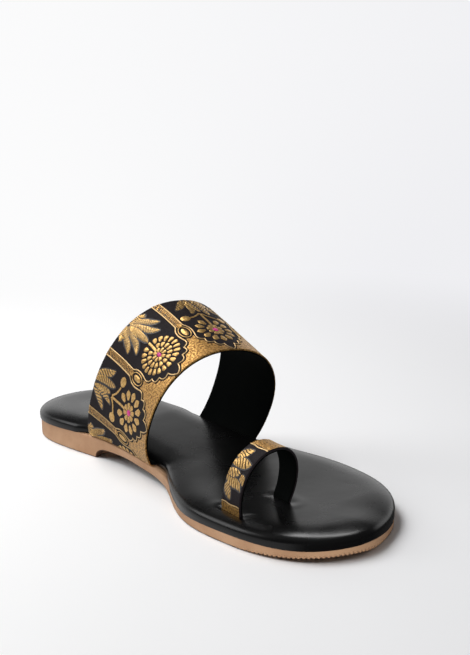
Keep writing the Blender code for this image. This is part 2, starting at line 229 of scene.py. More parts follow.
def make_floor():
    finish = new_finish("pale_floor", Roughness=0.9, Specular_IOR_Level=0.1)
    tree = finish.nodes
    where = object_place(tree)
    # painted shade: the floor's colour darkens towards the right
    shade = fade(tree, along_way(tree, where, ACROSS_PICTURE), -0.25, 0.35)
    feed(finish, "Base Color", blend(tree, shade, PAPER, PAPER_PAINTED_SHADE))
    bearing = add(tree, "ShaderNodeVectorMath", {0: where}, operation="NORMALIZE").outputs[0]
    backdrop = backdrop_colour(tree, bearing)
    away = add(tree, "ShaderNodeVectorMath", {0: where}, operation="LENGTH").outputs["Value"]
    far = fade(tree, away, MELT_START, MELT_END)
    glow = add(tree, "ShaderNodeEmission", {"Color": backdrop})
    mixed = add(tree, "ShaderNodeMixShader", {0: far, 1: finish.shader.outputs[0], 2: glow.outputs[0]})
    tree.links.new(mixed.outputs[0], tree.nodes["Material Output"].inputs["Surface"])
    mesh = bpy.data.meshes.new("floor")
    bm = bmesh.new()
    bmesh.ops.create_circle(bm, cap_ends=True, segments=64, radius=FLOOR_RADIUS)
    bm.to_mesh(mesh)
    bm.free()
    mesh.materials.append(finish.material)
    floor = put_in_scene("floor", mesh)
    floor.visible_glossy = False
    return floor


floor = make_floor()
print("floor radius, m:", FLOOR_RADIUS)

# %% [markdown]
# ## Sky
# The black leatherette mostly shows what it mirrors, so the room counts more than the lamps. The
# backdrop behind the shoe is bright low down and gives the flat top its grey sheen. Above it the
# room is almost black, which draws the dark line along the top of the rolled edge, and overhead it
# is grey again. Below, pale paper is mirrored on the left and nothing in front. The room only
# lights and is mirrored: looked at directly, every side is pale.

# %% Sky
BACKDROP_AZIMUTH = math.radians(139)
DIM_ROOM, BRIGHT_BACKDROP, DARK_BAND, CEILING = 0.10, 1.20, 0.05, 0.30
PAPER_MIRRORED, PAPER_FRONT, PAPER_AZIMUTH = 0.85, 0.05, math.radians(-131)
ROOM_HELD_BACK, BACKDROP_HELD_BACK = 0.5, 0.1


def make_sky():
    """Pale where it is looked at. What it lights and what mirrors it see the studio's room."""
    world = bpy.data.worlds.new("studio")
    world.use_nodes = True
    tree = world.node_tree
    where = add(tree, "ShaderNodeTexCoord").outputs["Generated"]
    up = add(tree, "ShaderNodeSeparateXYZ", {0: where}).outputs["Z"]
    front = fade(tree, along_way(tree, where, direction(BACKDROP_AZIMUTH)), 0.2, 0.6)
    low = fade(tree, up, 0.33, 0.47, 1.0, 0.0)
    high = fade(tree, up, 0.70, 0.95)
    wall = maths(tree, "MULTIPLY_ADD", low, BRIGHT_BACKDROP - DARK_BAND, DARK_BAND)
    wall = maths(tree, "MULTIPLY_ADD", maths(tree, "SUBTRACT", wall, DIM_ROOM), front, DIM_ROOM)
    room = maths(tree, "MULTIPLY_ADD", maths(tree, "SUBTRACT", CEILING, wall), high, wall)
    beside = along_way(tree, where, direction(PAPER_AZIMUTH))
    paper = fade(tree, beside, 0.1, 0.6, PAPER_FRONT, PAPER_MIRRORED)
    below = fade(tree, up, -0.06, 0.0, 1.0, 0.0)
    room = maths(tree, "MULTIPLY_ADD", maths(tree, "SUBTRACT", paper, room), below, room)
    rays = add(tree, "ShaderNodeLightPath")
    held_back = maths(tree, "MULTIPLY_ADD", front, BACKDROP_HELD_BACK - ROOM_HELD_BACK, ROOM_HELD_BACK)
    held_back = maths(tree, "MULTIPLY", held_back, rays.outputs["Is Diffuse Ray"])
    room = maths(tree, "MULTIPLY", room, maths(tree, "SUBTRACT", 1.0, held_back))
    studio = add(tree, "ShaderNodeBackground", {"Color": (1, 1, 1, 1), "Strength": room})
    looked_at = tree.nodes["Background"]
    # painted shade: looked at directly, the sky is a little darker to the right, like the backdrop
    tree.links.new(backdrop_colour(tree, where), looked_at.inputs["Color"])
    shaders = {0: rays.outputs["Is Camera Ray"], 1: studio.outputs[0], 2: looked_at.outputs[0]}
    mixed = add(tree, "ShaderNodeMixShader", shaders)
    tree.links.new(mixed.outputs[0], tree.nodes["World Output"].inputs["Surface"])
    bpy.context.scene.world = world


make_sky()
print("sky nodes:", len(bpy.context.scene.world.node_tree.nodes))

# %% [markdown]
# ## Lamps
# A large soft box stands high on the left and slightly behind, and a smaller one lower on the
# left is for the gold. As on a studio set with flags and screens, some lamps reach only a part of
# the set: one fills the shoe's near side, one draws the roll's highlight, and one evens the floor.
# Light linking does it, with a collection of what the lamp reaches or leaves out.

# %% Lamps


def table(columns, *rows):
    """Rows of values under named columns."""
    kind = namedtuple("Row", columns)
    return tuple(kind(*row) for row in rows)


LIGHTS = table(
    "name azimuth elevation distance width height watts lights mirrored",
    ("key_box", -165, 60, 1.10, 0.60, 0.60, 6.8, True, True),
    ("left_box", -134, 33, 1.20, 0.60, 0.60, 4.2, True, True),
    ("top_box", 139, 66, 1.20, 0.55, 0.55, 5.3, True, False),
    ("roll_strip", 106, 68, 1.20, 1.05, 0.28, 11.0, False, True),
    ("side_fill", -40, 14, 1.20, 0.60, 0.60, 9.0, True, False),
    ("floor_fill", -122, 64, 1.20, 0.50, 0.50, 4.6, True, False),
)


def make_light(row):
    data = bpy.data.lights.new(row.name, "AREA")
    data.shape = "RECTANGLE"
    data.size, data.size_y = row.width, row.height
    data.energy = row.watts
    lamp = put_in_scene(row.name, data)
    towards = direction(math.radians(row.azimuth), math.radians(row.elevation))
    lamp.location = towards * row.distance
    lamp.rotation_euler = towards.to_track_quat("Z", "Y").to_euler()
    lamp.visible_diffuse, lamp.visible_glossy = row.lights, row.mirrored
    return lamp


def limit_light(lamp, receivers, state="INCLUDE"):
    """The lamp reaches only these objects or, with EXCLUDE, everything but them."""
    group = bpy.data.collections.new(lamp.name + "_reach")
    for number, receiver in enumerate(receivers):
        group.objects.link(receiver)
        group.collection_objects[number].light_linking.link_state = state
    lamp.light_linking.receiver_collection = group


lamps = {light_row.name: make_light(light_row) for light_row in LIGHTS}
limit_light(lamps["floor_fill"], [floor])
limit_light(lamps["top_box"], [floor], "EXCLUDE")
bpy.context.scene.view_settings.view_transform = "Standard"
print("lights:", [row.name for row in LIGHTS])

# %% [markdown]
# ## The shoe's measures
# Shapes are worked out in the shoe's own millimetres, as on a pattern cutter's table. A station is
# the distance from the back of the heel towards the toe, x runs from the big-toe side to the
# outer side, and heights are above the floor. These are the frame's own driving sizes.

# %% Measures
SOLE_LENGTH = 250.0
MIDDLE_X, MIDDLE_STATION = 0.2, 124.75
SEAT_GAP = 0.3
FOOTBED_HEIGHT = 6.6
BREAST_START, BREAST_END = 70.0, 79.0
HEEL_TIP_X, TOE_TIP_X = 0.9, -4.1
SPRING_FULL_X, SPRING_FLAT_X = -20.0, 16.0
CORNER_DROP, CORNER_STATIONS, CORNER_ACROSS = 0.9, (222, 246), (-8, 14)


SOLE_PLAN = table(
    "station medial lateral",
    (6, 18.1, 18.7), (18, 27.6, 27.7), (40, 30.1, 31.2), (65, 27.3, 32.4), (90, 24.8, 34.2),
    (110, 24.9, 35.2), (130, 26.9, 37.3), (150, 36.3, 41.7), (172, 45.1, 46.1), (196, 46.1, 46.1),
    (220, 42.7, 39.4), (238, 33.1, 24.8), (247, 20.1, 7.6),
)
DECK = table(
    "station height",
    (0, 9.5), (60, 11.4), (75, 11.2), (90, 10.3), (115, 8.4), (140, 6.5), (165, 5.5), (190, 5.4),
    (220, 5.7), (250, 6.4),
)
ARCH_UNDERSIDE = table(
    "station height", (BREAST_START, 5.4), (90, 5.8), (115, 3.9), (140, 1.0), (153, 0.0)
)
TOE_SPRING = table(
    "station height", (198, 0.0), (207, 0.3), (220, 1.2), (233, 1.8), (242, 2.2), (250, 2.3)
)
SOLE_ROUND = table("station radius", (0, 0.7), (150, 0.7), (250, 0.6))


print("rows of the plan:", len(SOLE_PLAN), "rows of the deck:", len(DECK))

# %% [markdown]
# Known heights become smooth curves. A plain spline would swing past its knots and dent the deck,
# so each slope is held back until the curve stays between its neighbours.

# %% Smooth curves


def cubic(t, span, start, stop, leaving, arriving):
    """The smooth line from start to stop that has these slopes at its ends."""
    ends = (1 + 2 * t) * (1 - t) ** 2 * start + t * t * (3 - 2 * t) * stop
    return ends + span * t * (1 - t) * ((1 - t) * leaving - t * arriving)


def curve_through(x, y):
    """A smooth line through known points that never runs past them. It takes an array of places."""
    x, y = np.array(x, float), np.array(y, float)
    slope = np.diff(y) / np.diff(x)
    left, right = slope[:-1], slope[1:]
    total = np.where(left * right > 0, left + right, 1.0)
    inner = np.where(left * right > 0, 2 * left * right / total, 0.0)
    tangent = np.concatenate([slope[:1], inner, slope[-1:]])

    def value(at):
        at = np.clip(np.asarray(at, float), x[0], x[-1])
        i = np.clip(np.searchsorted(x, at, side="right") - 1, 0, len(slope) - 1)
        span = x[i + 1] - x[i]
        return cubic((at - x[i]) / span, span, y[i], y[i + 1], tangent[i], tangent[i + 1])

    return value


def curve_of(rows, column=1):
    """A column of a table as a smooth function of its first column."""
    return curve_through([row[0] for row in rows], [row[column] for row in rows])


print("curves ready")

# %% [markdown]
# From the curves come the heights over the whole plan: the underside with its hollow breast, its
# arch and its toe spring, and the deck. One last helper turns the shoe's millimetres into world
# metres, with the toe towards -Y.

# %% Heights over the plan
deck_height = curve_of(DECK)
arch_height = curve_of(ARCH_UNDERSIDE)
toe_spring = curve_of(TOE_SPRING)
round_size = curve_of(SOLE_ROUND)


def smooth_step(t):
    t = np.clip(t, 0, 1)
    return t * t * (3 - 2 * t)


def rising(value, start, stop):
    """0 up to the start, 1 from the stop on, and smooth between."""
    return smooth_step((value - start) / (stop - start))


def spring_height(x, station):
    """The toe is sprung on the big toe's side and lies flat on the outer side."""
    return toe_spring(station) * (1 - rising(x, SPRING_FULL_X, SPRING_FLAT_X))


def underside_height(x, station):
    """Zero under the heel, then the hollow breast, the arch, the flat ball and the toe spring."""
    t = np.clip((station - BREAST_START) / (BREAST_END - BREAST_START), 0, 1)
    return arch_height(station) * np.sqrt(1 - (1 - t) ** 2) + spring_height(x, station)


def deck_level(x, station):
    """The deck's height, a little lower at the toe's outer corner."""
    corner = rising(station, *CORNER_STATIONS) * rising(x, *CORNER_ACROSS)
    return deck_height(station) - CORNER_DROP * corner


def place(points):
    """From rows of x, station and height in millimetres to world metres."""
    x, station, height = np.moveaxis(np.asarray(points, float), -1, 0)
    return np.stack([x - MIDDLE_X, MIDDLE_STATION - station, height], axis=-1) * MM


print("deck at heel, waist and ball, mm:", np.round(deck_height([30, 110, 190]), 1))

# %% [markdown]
# ## Plan outline
# The edge of the sole is one smooth closed curve through the widths in the table. Each side is
# then read off at chosen stations, with the direction that points straight out of the edge, so
# that any ring round the shoe can be drawn in or let out by a known amount.

# %% Plan outline
SPLINE_STEPS = 40


def closed_spline(knots, steps):
    """Points on the smooth closed curve through the knots, with `steps` points to each span."""
    knots = np.array(knots, float)
    count = len(knots)
    chord = np.linalg.norm(np.roll(knots, -1, axis=0) - knots, axis=1)
    system, known = np.zeros((count, count)), np.zeros_like(knots)
    for i in range(count):
        after = (i + 1) % count
        system[i, i - 1] += chord[i]
        system[i, i] += 2 * (chord[i - 1] + chord[i])
        system[i, after] += chord[i - 1]
        known[i] = 3 * (
            chord[i] / chord[i - 1] * (knots[i] - knots[i - 1])
            + chord[i - 1] / chord[i] * (knots[after] - knots[i])
        )
    tangent = np.linalg.solve(system, known)
    t = (np.arange(steps) / steps)[:, None]
    spans = []
    for i in range(count):
        after = (i + 1) % count
        spans.append(cubic(t, chord[i], knots[i], knots[after], tangent[i], tangent[after]))
    return np.concatenate(spans)


def unit(vectors):
    return vectors / np.linalg.norm(vectors, axis=-1)[..., None]


def left_of(path, closed=False):
    """Directions to the left of a path of flat points."""
    ahead = np.roll(path, -1, axis=0) - np.roll(path, 1, axis=0) if closed else np.gradient(path, axis=0)
    along = unit(ahead)
    return np.column_stack([-along[:, 1], along[:, 0]])


def plan_columns():
    """Close points on the edge: station, x and the direction out, from the heel's tip round."""
    knots = [(0.0, HEEL_TIP_X)]
    knots += [(row.station, -row.medial) for row in SOLE_PLAN]
    knots += [(SOLE_LENGTH, TOE_TIP_X)]
    knots += [(row.station, row.lateral) for row in reversed(SOLE_PLAN)]
    points = closed_spline(knots, SPLINE_STEPS)
    return np.column_stack([points, -left_of(points, closed=True)])


COLUMNS = plan_columns()


print("points on the curve:", len(COLUMNS))

# %% [markdown]
# The body is built in rows across the shoe, so the curve is read at chosen stations: close together
# at the round ends and at the heel's breast, and wider apart between.

# %% Edge points
Side = namedtuple("Side", "station x out_station out_x")
ROUND_STATIONS, BREAST_STEPS, TIP_CLEARANCE = 230, 12, 0.12


def plan_sides(stations):
    """The medial and the lateral edge at these stations."""
    toe = int(COLUMNS[:, 0].argmax())
    sides = []
    for part in (COLUMNS[: toe + 1], COLUMNS[toe:]):
        part = part[np.argsort(part[:, 0])]
        read = [np.interp(stations, part[:, 0], part[:, k]) for k in (1, 2, 3)]
        sides.append(Side(np.asarray(stations, float), *read))
    return sides


def sole_stations():
    """Stations that crowd towards both round ends and at the heel's breast."""
    turns = np.linspace(0, np.pi, ROUND_STATIONS + 1)[1:-1]
    rounded = SOLE_LENGTH / 2 * (1 - np.cos(turns))
    breast = np.linspace(BREAST_START, BREAST_END, BREAST_STEPS + 1)
    step = breast[1] - breast[0]
    clear = (rounded > TIP_CLEARANCE) & (rounded < SOLE_LENGTH - TIP_CLEARANCE)
    clear &= (rounded < BREAST_START - step) | (rounded > BREAST_END + step)
    return np.sort(np.concatenate([rounded[clear], breast]))


def whole_edge():
    """The edge from the heel's tip along the medial side, round the toe and back."""
    medial, lateral = plan_sides(sole_stations())
    heel = Side(*COLUMNS[COLUMNS[:, 0].argmin()][:, None])
    toe = Side(*COLUMNS[COLUMNS[:, 0].argmax()][:, None])
    turned = Side(*[column[::-1] for column in lateral])
    return Side(*[np.concatenate(columns) for columns in zip(heel, medial, toe, turned)])


def edge_x(medial, station):
    side = plan_sides([station])[0 if medial else 1]
    return float(side.x[0])


EDGE = whole_edge()
print("edge points:", len(EDGE.x), "widest, mm:", round(float(np.ptp(EDGE.x)), 1))

# %% [markdown]
# ## Mesh helper
# Most pieces here are lofts: a row of closed rings of points, joined ring to ring and capped. The
# helper keeps the faces pointing outwards by looking at the sign of the volume, and lays a UV map
# in metres along the cloth where one is given.

# %% Mesh helper


def new_piece(name, vertices, faces, material, uv=None):
    """A smooth-shaded mesh object at the origin. uv has one row of two for each vertex."""
    mesh = bpy.data.meshes.new(name)
    mesh.from_pydata(np.asarray(vertices).tolist(), [], faces)
    mesh.materials.append(material)
    if uv is not None:
        corners = np.empty(len(mesh.loops), np.int32)
        mesh.loops.foreach_get("vertex_index", corners)
        layer = mesh.uv_layers.new(name="cloth")
        layer.data.foreach_set("uv", np.asarray(uv, np.float32)[corners].ravel())
    mesh.shade_smooth()
    mesh.validate()
    return put_in_scene(name, mesh)


def carry(mesh, name, values, kind="FLOAT", field="value"):
    """Give each point of a mesh a value of its own."""
    layer = mesh.attributes.new(name, kind, "POINT")
    layer.data.foreach_set(field, np.asarray(values, np.float32).ravel())


def volume(vertices, faces):
    """Six times the signed volume of a closed mesh."""
    total = 0.0
    for corners in {len(face) for face in faces}:
        chosen = vertices[np.array([face for face in faces if len(face) == corners])]
        for k in range(1, corners - 1):
            total += np.sum(chosen[:, 0] * np.cross(chosen[:, k], chosen[:, k + 1]))
    return total


def ring_faces(count, size):
    """Quads between neighbouring closed rings."""
    low = np.arange(count - 1)[:, None] * size + np.arange(size)
    after = np.arange(count - 1)[:, None] * size + (np.arange(size) + 1) % size
    quads = np.stack([low, after, after + size, low + size], axis=-1)
    return quads.reshape(-1, 4).tolist()


def grid_faces(rows, columns):
    """Quads between neighbouring open rows."""
    low = np.arange(rows - 1)[:, None] * columns + np.arange(columns - 1)
    return np.stack([low, low + 1, low + 1 + columns, low + columns], axis=-1).reshape(-1, 4).tolist()


def capped(count, size):
    """The faces of a tube of rings with both ends closed."""
    last = (count - 1) * size
    return ring_faces(count, size) + [list(range(size))[::-1], list(range(last, last + size))]


def outward(vertices, faces):
    return [face[::-1] for face in faces] if volume(vertices, faces) < 0 else faces


print("mesh helper ready")

# %% [markdown]
# ## Sole
# The sole is one tan rubber moulding: a flat deck, an upright side, a heel block with a hollow
# breast, and a rounded lower edge. It could be cut from a block, but it is a stack of rings round
# the same outline, so it is lofted. Each ring is the outline drawn in by a little and lifted to its
# own height. The underside is sunk inside a rim, and tread bars fill that hollow later.

# %% Loft round the outline
RUBBER_GROOVE = 0.6
TREAD_RIM = 4.0


def edge_ring(inset, height):
    """The outline drawn in by an inset, one value or one for each point, at height(x, station)."""
    station = EDGE.station - inset * EDGE.out_station
    x = EDGE.x - inset * EDGE.out_x
    return np.column_stack([x, station, height(x, station)])


def crossed(ring, first, across, height):
    """Rows of points that close a ring from side to side, with the faces between them.

    first is the number of the ring's first point. height(x, station) gives the inner points'
    heights. The new points are numbered after `first + len(ring)`.
    """
    size, half = len(ring), len(ring) // 2
    shares = (np.arange(1, across) / across)[:, None]
    rows, fresh = [], []
    count = first + size
    for i in range(1, half):
        left, right = ring[i], ring[size - i]
        inner = left[:2] + shares * (right - left)[:2]
        fresh.append(np.column_stack([inner, height(inner[:, 0], inner[:, 1])]))
        rows.append([first + i, *range(count, count + across - 1), first + size - i])
        count += across - 1
    faces = []
    for low, high in zip(rows, rows[1:]):
        faces += [[low[k], low[k + 1], high[k + 1], high[k]] for k in range(across)]
    for tip, row in ((first, rows[0]), (first + half, rows[-1])):
        fan = [[tip, row[k], row[k + 1]] for k in range(across)]
        faces += [face[::-1] for face in fan] if tip == first else fan
    return np.concatenate(fresh), faces


def stack(rings, across, low_height, high_height):
    """A closed body through rings from low to high, with both ends closed from side to side."""
    size = len(rings[0])
    body = np.concatenate(rings)
    faces = ring_faces(len(rings), size)
    bottom, bottom_faces = crossed(rings[0], 0, across, low_height)
    shift = len(body) - size
    bottom_faces = [[k if k < size else k + shift for k in face] for face in bottom_faces]
    top_first = len(body) - size
    top, top_faces = crossed(rings[-1], top_first, across, high_height)
    after = len(body) + len(bottom)
    top_faces = [[k if k < len(body) else k - len(body) + after for k in face] for face in top_faces]
    points = np.concatenate([body, bottom, top])
    return points, faces + matched(bottom_faces, faces) + matched(top_faces, faces)


def matched(cap, side):
    """The cap's faces, turned so that they go round the same way as the side's."""
    edges = {(face[k], face[(k + 1) % len(face)]) for face in side for k in range(len(face))}
    against = any((face[k], face[(k + 1) % len(face)]) in edges for face in cap for k in range(len(face)))
    return [face[::-1] for face in cap] if against else cap


print("one ring has", len(EDGE.x), "points")

# %% [markdown]
# The rubber is a warm tan with a faint speckle and a chalky, slightly uneven surface. Its lowest
# half millimetre is painted dark brown, as painted shade under the rounded lower edge that turns
# towards the floor, so the mesh carries each point's height above the underside, and the colour changes
# where that height is small.

# %% Rubber finish
TAN, TAN_DEEP = (0.44, 0.262, 0.150, 1), (0.37, 0.208, 0.115, 1)
# the dark brown is painted shade along the sole's lowest edge
SPECK, BROWN_PAINTED_SHADE = (0.22, 0.12, 0.07, 1), (0.07, 0.033, 0.018, 1)


def rubber_finish():
    finish = new_finish("tan_rubber", Specular_IOR_Level=0.35)
    tree = finish.nodes
    where = object_place(tree)
    cloudy = noise(tree, where, 60.0, 3.0)
    speck = noise(tree, where, 1600.0, 2.0)
    tan = blend(tree, fade(tree, cloudy, 0.35, 0.68), TAN, TAN_DEEP)
    tan = blend(tree, fade(tree, speck, 0.60, 0.74, 0.0, 0.45), tan, SPECK)
    # painted shade: where the height above the underside is small, the colour turns dark brown, with a
    # ragged boundary
    lift = add(tree, "ShaderNodeAttribute", attribute_name="lift").outputs["Fac"]
    ragged_shade = maths(tree, "MULTIPLY_ADD", noise(tree, where, 220.0, 2.0), 0.35, -0.17)
    low = fade(tree, maths(tree, "ADD", lift, ragged_shade), 0.45, 0.75, 1.0, 0.0)
    feed(finish, "Base Color", blend(tree, low, tan, BROWN_PAINTED_SHADE))
    feed(finish, "Roughness", fade(tree, cloudy, 0.3, 0.7, 0.52, 0.68))
    bump(finish, noise(tree, where, 2600.0, 2.0), 0.00006, 0.6)
    return finish


print("tan and brown ready")

# %% [markdown]
# The rings now run from the sunk underside out to the rim, round the lower edge, up the side and
# in over the deck. Each says its own inset and height, so the arch and the toe spring come along.

# %% Make the sole
DECK_EDGE = ((1.4, 0.0), (0.55, 0.0), (0.2, 0.12), (0.0, 0.45))
SIDE_STEPS = 6
ROUND_STEPS = 5


def make_sole(material):
    def under(lift):
        return lambda x, s: underside_height(x, s) + lift

    def side_at(share):
        def height(x, s):
            low = underside_height(x, s) + round_size(s)
            return low * (1 - share) + (deck_level(x, s) - DECK_EDGE[-1][1]) * share

        return height

    rings = [edge_ring(TREAD_RIM + 0.5, under(RUBBER_GROOVE)), edge_ring(TREAD_RIM, under(0.0))]
    for k in range(ROUND_STEPS + 1):
        turn = math.pi / 2 * k / ROUND_STEPS
        inset = round_size(EDGE.station) * (1 - math.sin(turn))
        rings.append(edge_ring(inset, under(round_size(EDGE.station) * (1 - math.cos(turn)))))
    for k in range(1, SIDE_STEPS + 1):
        rings.append(edge_ring(0.0, side_at(k / (SIDE_STEPS + 1))))
    for inset, drop in reversed(DECK_EDGE):
        rings.append(edge_ring(inset, lambda x, s: deck_level(x, s) - drop))
    points, faces = stack(rings, 10, under(RUBBER_GROOVE), deck_level)
    world = place(points)
    piece = new_piece("sole", world, outward(world, faces), material)
    lift = points[:, 2] - underside_height(points[:, 0], points[:, 1])
    carry(piece.data, "lift", lift + spring_height(points[:, 0], points[:, 1]))
    return piece


tan_rubber = rubber_finish()
sole = make_sole(tan_rubber.material)
print("sole faces:", len(sole.data.polygons))

# %% [markdown]
# ## Ribs and tread
# What repeats is grown by Geometry Nodes: a tree with named inputs is set on a base mesh, its
# instances are made real, and the result is kept as a plain mesh. Small upright ribs run round
# the toe's lower edge, where the sole grips as the foot rolls off, and thin bars cross the sunk
# underside of the heel and the ball. A path of points carries them, and one tree serves both.
# They are grown on the flat and then laid up to the underside, so that they follow the toe spring.

# %% Geometry Nodes helpers


def new_tree(name, sockets):
    """A geometry tree with named inputs, and its input and output nodes."""
    tree = bpy.data.node_groups.new(name, "GeometryNodeTree")
    tree.interface.new_socket("Geometry", in_out="INPUT", socket_type="NodeSocketGeometry")
    tree.interface.new_socket("Geometry", in_out="OUTPUT", socket_type="NodeSocketGeometry")
    for socket, kind in sockets.items():
        tree.interface.new_socket(socket, in_out="INPUT", socket_type="NodeSocket" + kind)
    return tree, tree.nodes.new("NodeGroupInput"), tree.nodes.new("NodeGroupOutput")


def end_tree(tree, out, geometry, material):
    """Realize Instances, Set Material, and the result."""
    real = add(tree, "GeometryNodeRealizeInstances", {"Geometry": geometry})
    coated = add(tree, "GeometryNodeSetMaterial", {"Geometry": real.outputs[0], "Material": material})
    tree.links.new(coated.outputs[0], out.inputs[0])


def grown(name, tree, values, mesh=None):
    """A plain mesh object grown by the tree, with its inputs set by their identifiers."""
    base = put_in_scene(name + "_base", mesh or bpy.data.meshes.new(name + "_base"))
    modifier = base.modifiers.new("grow", "NODES")
    modifier.node_group = tree
    for item in tree.interface.items_tree:
        if item.in_out == "INPUT" and item.name in values:
            modifier[item.identifier] = values[item.name]
    graph = bpy.context.evaluated_depsgraph_get()
    graph.update()
    made = bpy.data.meshes.new_from_object(base.evaluated_get(graph))
    bpy.data.objects.remove(base, do_unlink=True)
    made.name = name
    return put_in_scene(name, made)


print("growing helpers ready")

# %% [markdown]
# One tree serves ribs and bars. It puts a shape at an even spacing along a path and stretches it
# by the path's own span. The shape turns with the path or stays square to the shoe.

# %% Path tree


def path_tree():
    """The instance at an even spacing along a path, stretched by `span`, and turned with the path
    or kept square to the shoe."""
    sockets = {"Spacing": "Float", "Turned": "Bool", "Shape": "Object", "Finish": "Material"}
    tree, given, out = new_tree("along a path", sockets)
    value = given.outputs
    curve = add(tree, "GeometryNodeMeshToCurve", {0: value["Geometry"]})
    inputs = {"Curve": curve.outputs[0], "Length": value["Spacing"]}
    even = add(tree, "GeometryNodeResampleCurve", inputs, mode="LENGTH")
    ahead = add(tree, "GeometryNodeInputTangent").outputs[0]
    inputs = {"Switch": value["Turned"], "False": (0, -1, 0), "True": ahead}
    ahead = add(tree, "GeometryNodeSwitch", inputs, input_type="VECTOR").outputs[0]
    turned = add(tree, "FunctionNodeAlignRotationToVector", {"Vector": ahead}, axis="X", pivot_axis="Z")
    span = add(tree, "GeometryNodeInputNamedAttribute", {"Name": "span"}).outputs[0]
    size = add(tree, "ShaderNodeCombineXYZ", {"X": 1.0, "Y": span, "Z": 1.0}).outputs[0]
    shape = add(tree, "GeometryNodeObjectInfo", {"Object": value["Shape"]})
    inputs = {"Points": even.outputs[0], "Instance": shape.outputs["Geometry"]}
    inputs |= {"Rotation": turned.outputs[0], "Scale": size}
    placed = add(tree, "GeometryNodeInstanceOnPoints", inputs)
    end_tree(tree, out, placed.outputs[0], value["Finish"])
    return tree


along_path = path_tree()
print("path tree nodes:", len(along_path.nodes))

# %% [markdown]
# A rib is a short upright prism that starts inside the rubber. A bar is a box across the sole,
# one millimetre long in the making, and stretched to the width it has to cross at its place.

# %% Shapes for the path


def path_mesh(name, points, span):
    """A path of points laid on the flat, with the stretch of what it carries."""
    mesh = bpy.data.meshes.new(name)
    flat = np.column_stack([points, np.zeros(len(points))])
    mesh.from_pydata(place(flat).tolist(), [(k, k + 1) for k in range(len(points) - 1)], [])
    carry(mesh, "span", span)
    return mesh


def prism(name, section, width, steps, material):
    """A section of (across, height) points swept along its X or, with steps, a bar across Y."""
    section = np.array(section, float)
    across, height = section.T
    level = np.ones(len(section))
    rings = []
    for share in np.linspace(-0.5, 0.5, steps + 1):
        swept = (level * width * share, across, height)
        crossing = (across, level * share / MM, height)
        rings.append(np.column_stack(swept if steps == 1 else crossing))
    points = np.concatenate(rings) * MM
    return new_piece(name, points, outward(points, capped(len(rings), len(section))), material)


def laid_up(piece, drop=0.0):
    """Lift a flat-grown piece to the underside, and give it the rubber's own height layer.

    Where the toe is sprung, what was grown may reach below the underside by a drop.
    """
    mesh = piece.data
    world = np.empty(len(mesh.vertices) * 3, np.float32)
    mesh.vertices.foreach_get("co", world)
    world = world.reshape(-1, 3).astype(float)
    x, station = world[:, 0] / MM + MIDDLE_X, MIDDLE_STATION - world[:, 1] / MM
    lift = world[:, 2] / MM
    below = drop * np.minimum(spring_height(x, station), 1) * (lift < 0.6)
    world[:, 2] += (underside_height(x, station) - below) * MM
    mesh.vertices.foreach_set("co", world.astype(np.float32).ravel())
    carry(mesh, "lift", lift + spring_height(x, station))
    if "span" in mesh.attributes:
        mesh.attributes.remove(mesh.attributes["span"])
    mesh.update()
    return piece


print("shape helpers ready")

# %% [markdown]
# The ribs follow the front of the outline itself, from one side round the toe to the other.

# %% Grow the ribs
RIB_SPACING, RIB_WIDTH, RIB_FIRST, RIB_DROP = 2.2, 1.2, 205.0, 0.3
RIB_SECTION = ((1.6, 0.02), (0.16, 0.02), (-0.05, 0.22), (-0.05, 0.9), (0.10, 1.3), (1.6, 1.3))


def grow_ribs(tree, material):
    shape = prism("rib", RIB_SECTION, RIB_WIDTH, 1, material)
    path = np.column_stack([EDGE.x, EDGE.station])[EDGE.station > RIB_FIRST]
    values = {"Spacing": RIB_SPACING * MM, "Turned": True, "Shape": shape, "Finish": material}
    made = grown("edge_ribs", tree, values, path_mesh("rib_path", path, np.ones(len(path))))
    bpy.data.objects.remove(shape, do_unlink=True)
    return laid_up(made, RIB_DROP)


edge_ribs = grow_ribs(along_path, tan_rubber.material)
print("rib faces:", len(edge_ribs.data.polygons))

# %% [markdown]
# The tread bars follow the middle of each sunk field, and each reaches from rim to rim.

# %% Grow the tread
BAR_SPACING, BAR_WIDTH, BAR_STEPS, BAR_MARGIN = 2.6, 1.2, 12, 0.8
BAR_FIELDS = ((8.0, 62.0), (150.0, 240.0))


def joined(name, parts, material):
    """One plain mesh of several, which are then removed."""
    bm = bmesh.new()
    for part in parts:
        bm.from_mesh(part.data)
        bpy.data.objects.remove(part, do_unlink=True)
    mesh = bpy.data.meshes.new(name)
    bm.to_mesh(mesh)
    bm.free()
    mesh.materials.append(material)
    return put_in_scene(name, mesh)


def grow_bars(tree, material):
    foot, crest, top = BAR_WIDTH * 0.5, BAR_WIDTH * 0.4, RUBBER_GROOVE + 0.1
    section = ((-foot, 0.05), (foot, 0.05), (crest, top), (-crest, top))
    shape = prism("bar", section, 1.0, BAR_STEPS, material)
    rim = edge_ring(TREAD_RIM + BAR_MARGIN, underside_height)
    half = len(rim) // 2
    parts = []
    for first, last in BAR_FIELDS:
        stations = np.arange(first, last, 1.0)
        inner = [np.interp(stations, side[:, 1], side[:, 0]) for side in (rim[:half], rim[:half:-1])]
        path = np.column_stack([(inner[0] + inner[1]) / 2, stations])
        values = {"Spacing": BAR_SPACING * MM, "Turned": False, "Shape": shape, "Finish": material}
        mesh = path_mesh("bar_path", path, (inner[1] - inner[0]) * MM)
        parts.append(grown("bars", tree, values, mesh))
    bpy.data.objects.remove(shape, do_unlink=True)
    return laid_up(joined("tread_bars", parts, material))


tread_bars = grow_bars(along_path, tan_rubber.material)
print("tread faces:", len(tread_bars.data.polygons))
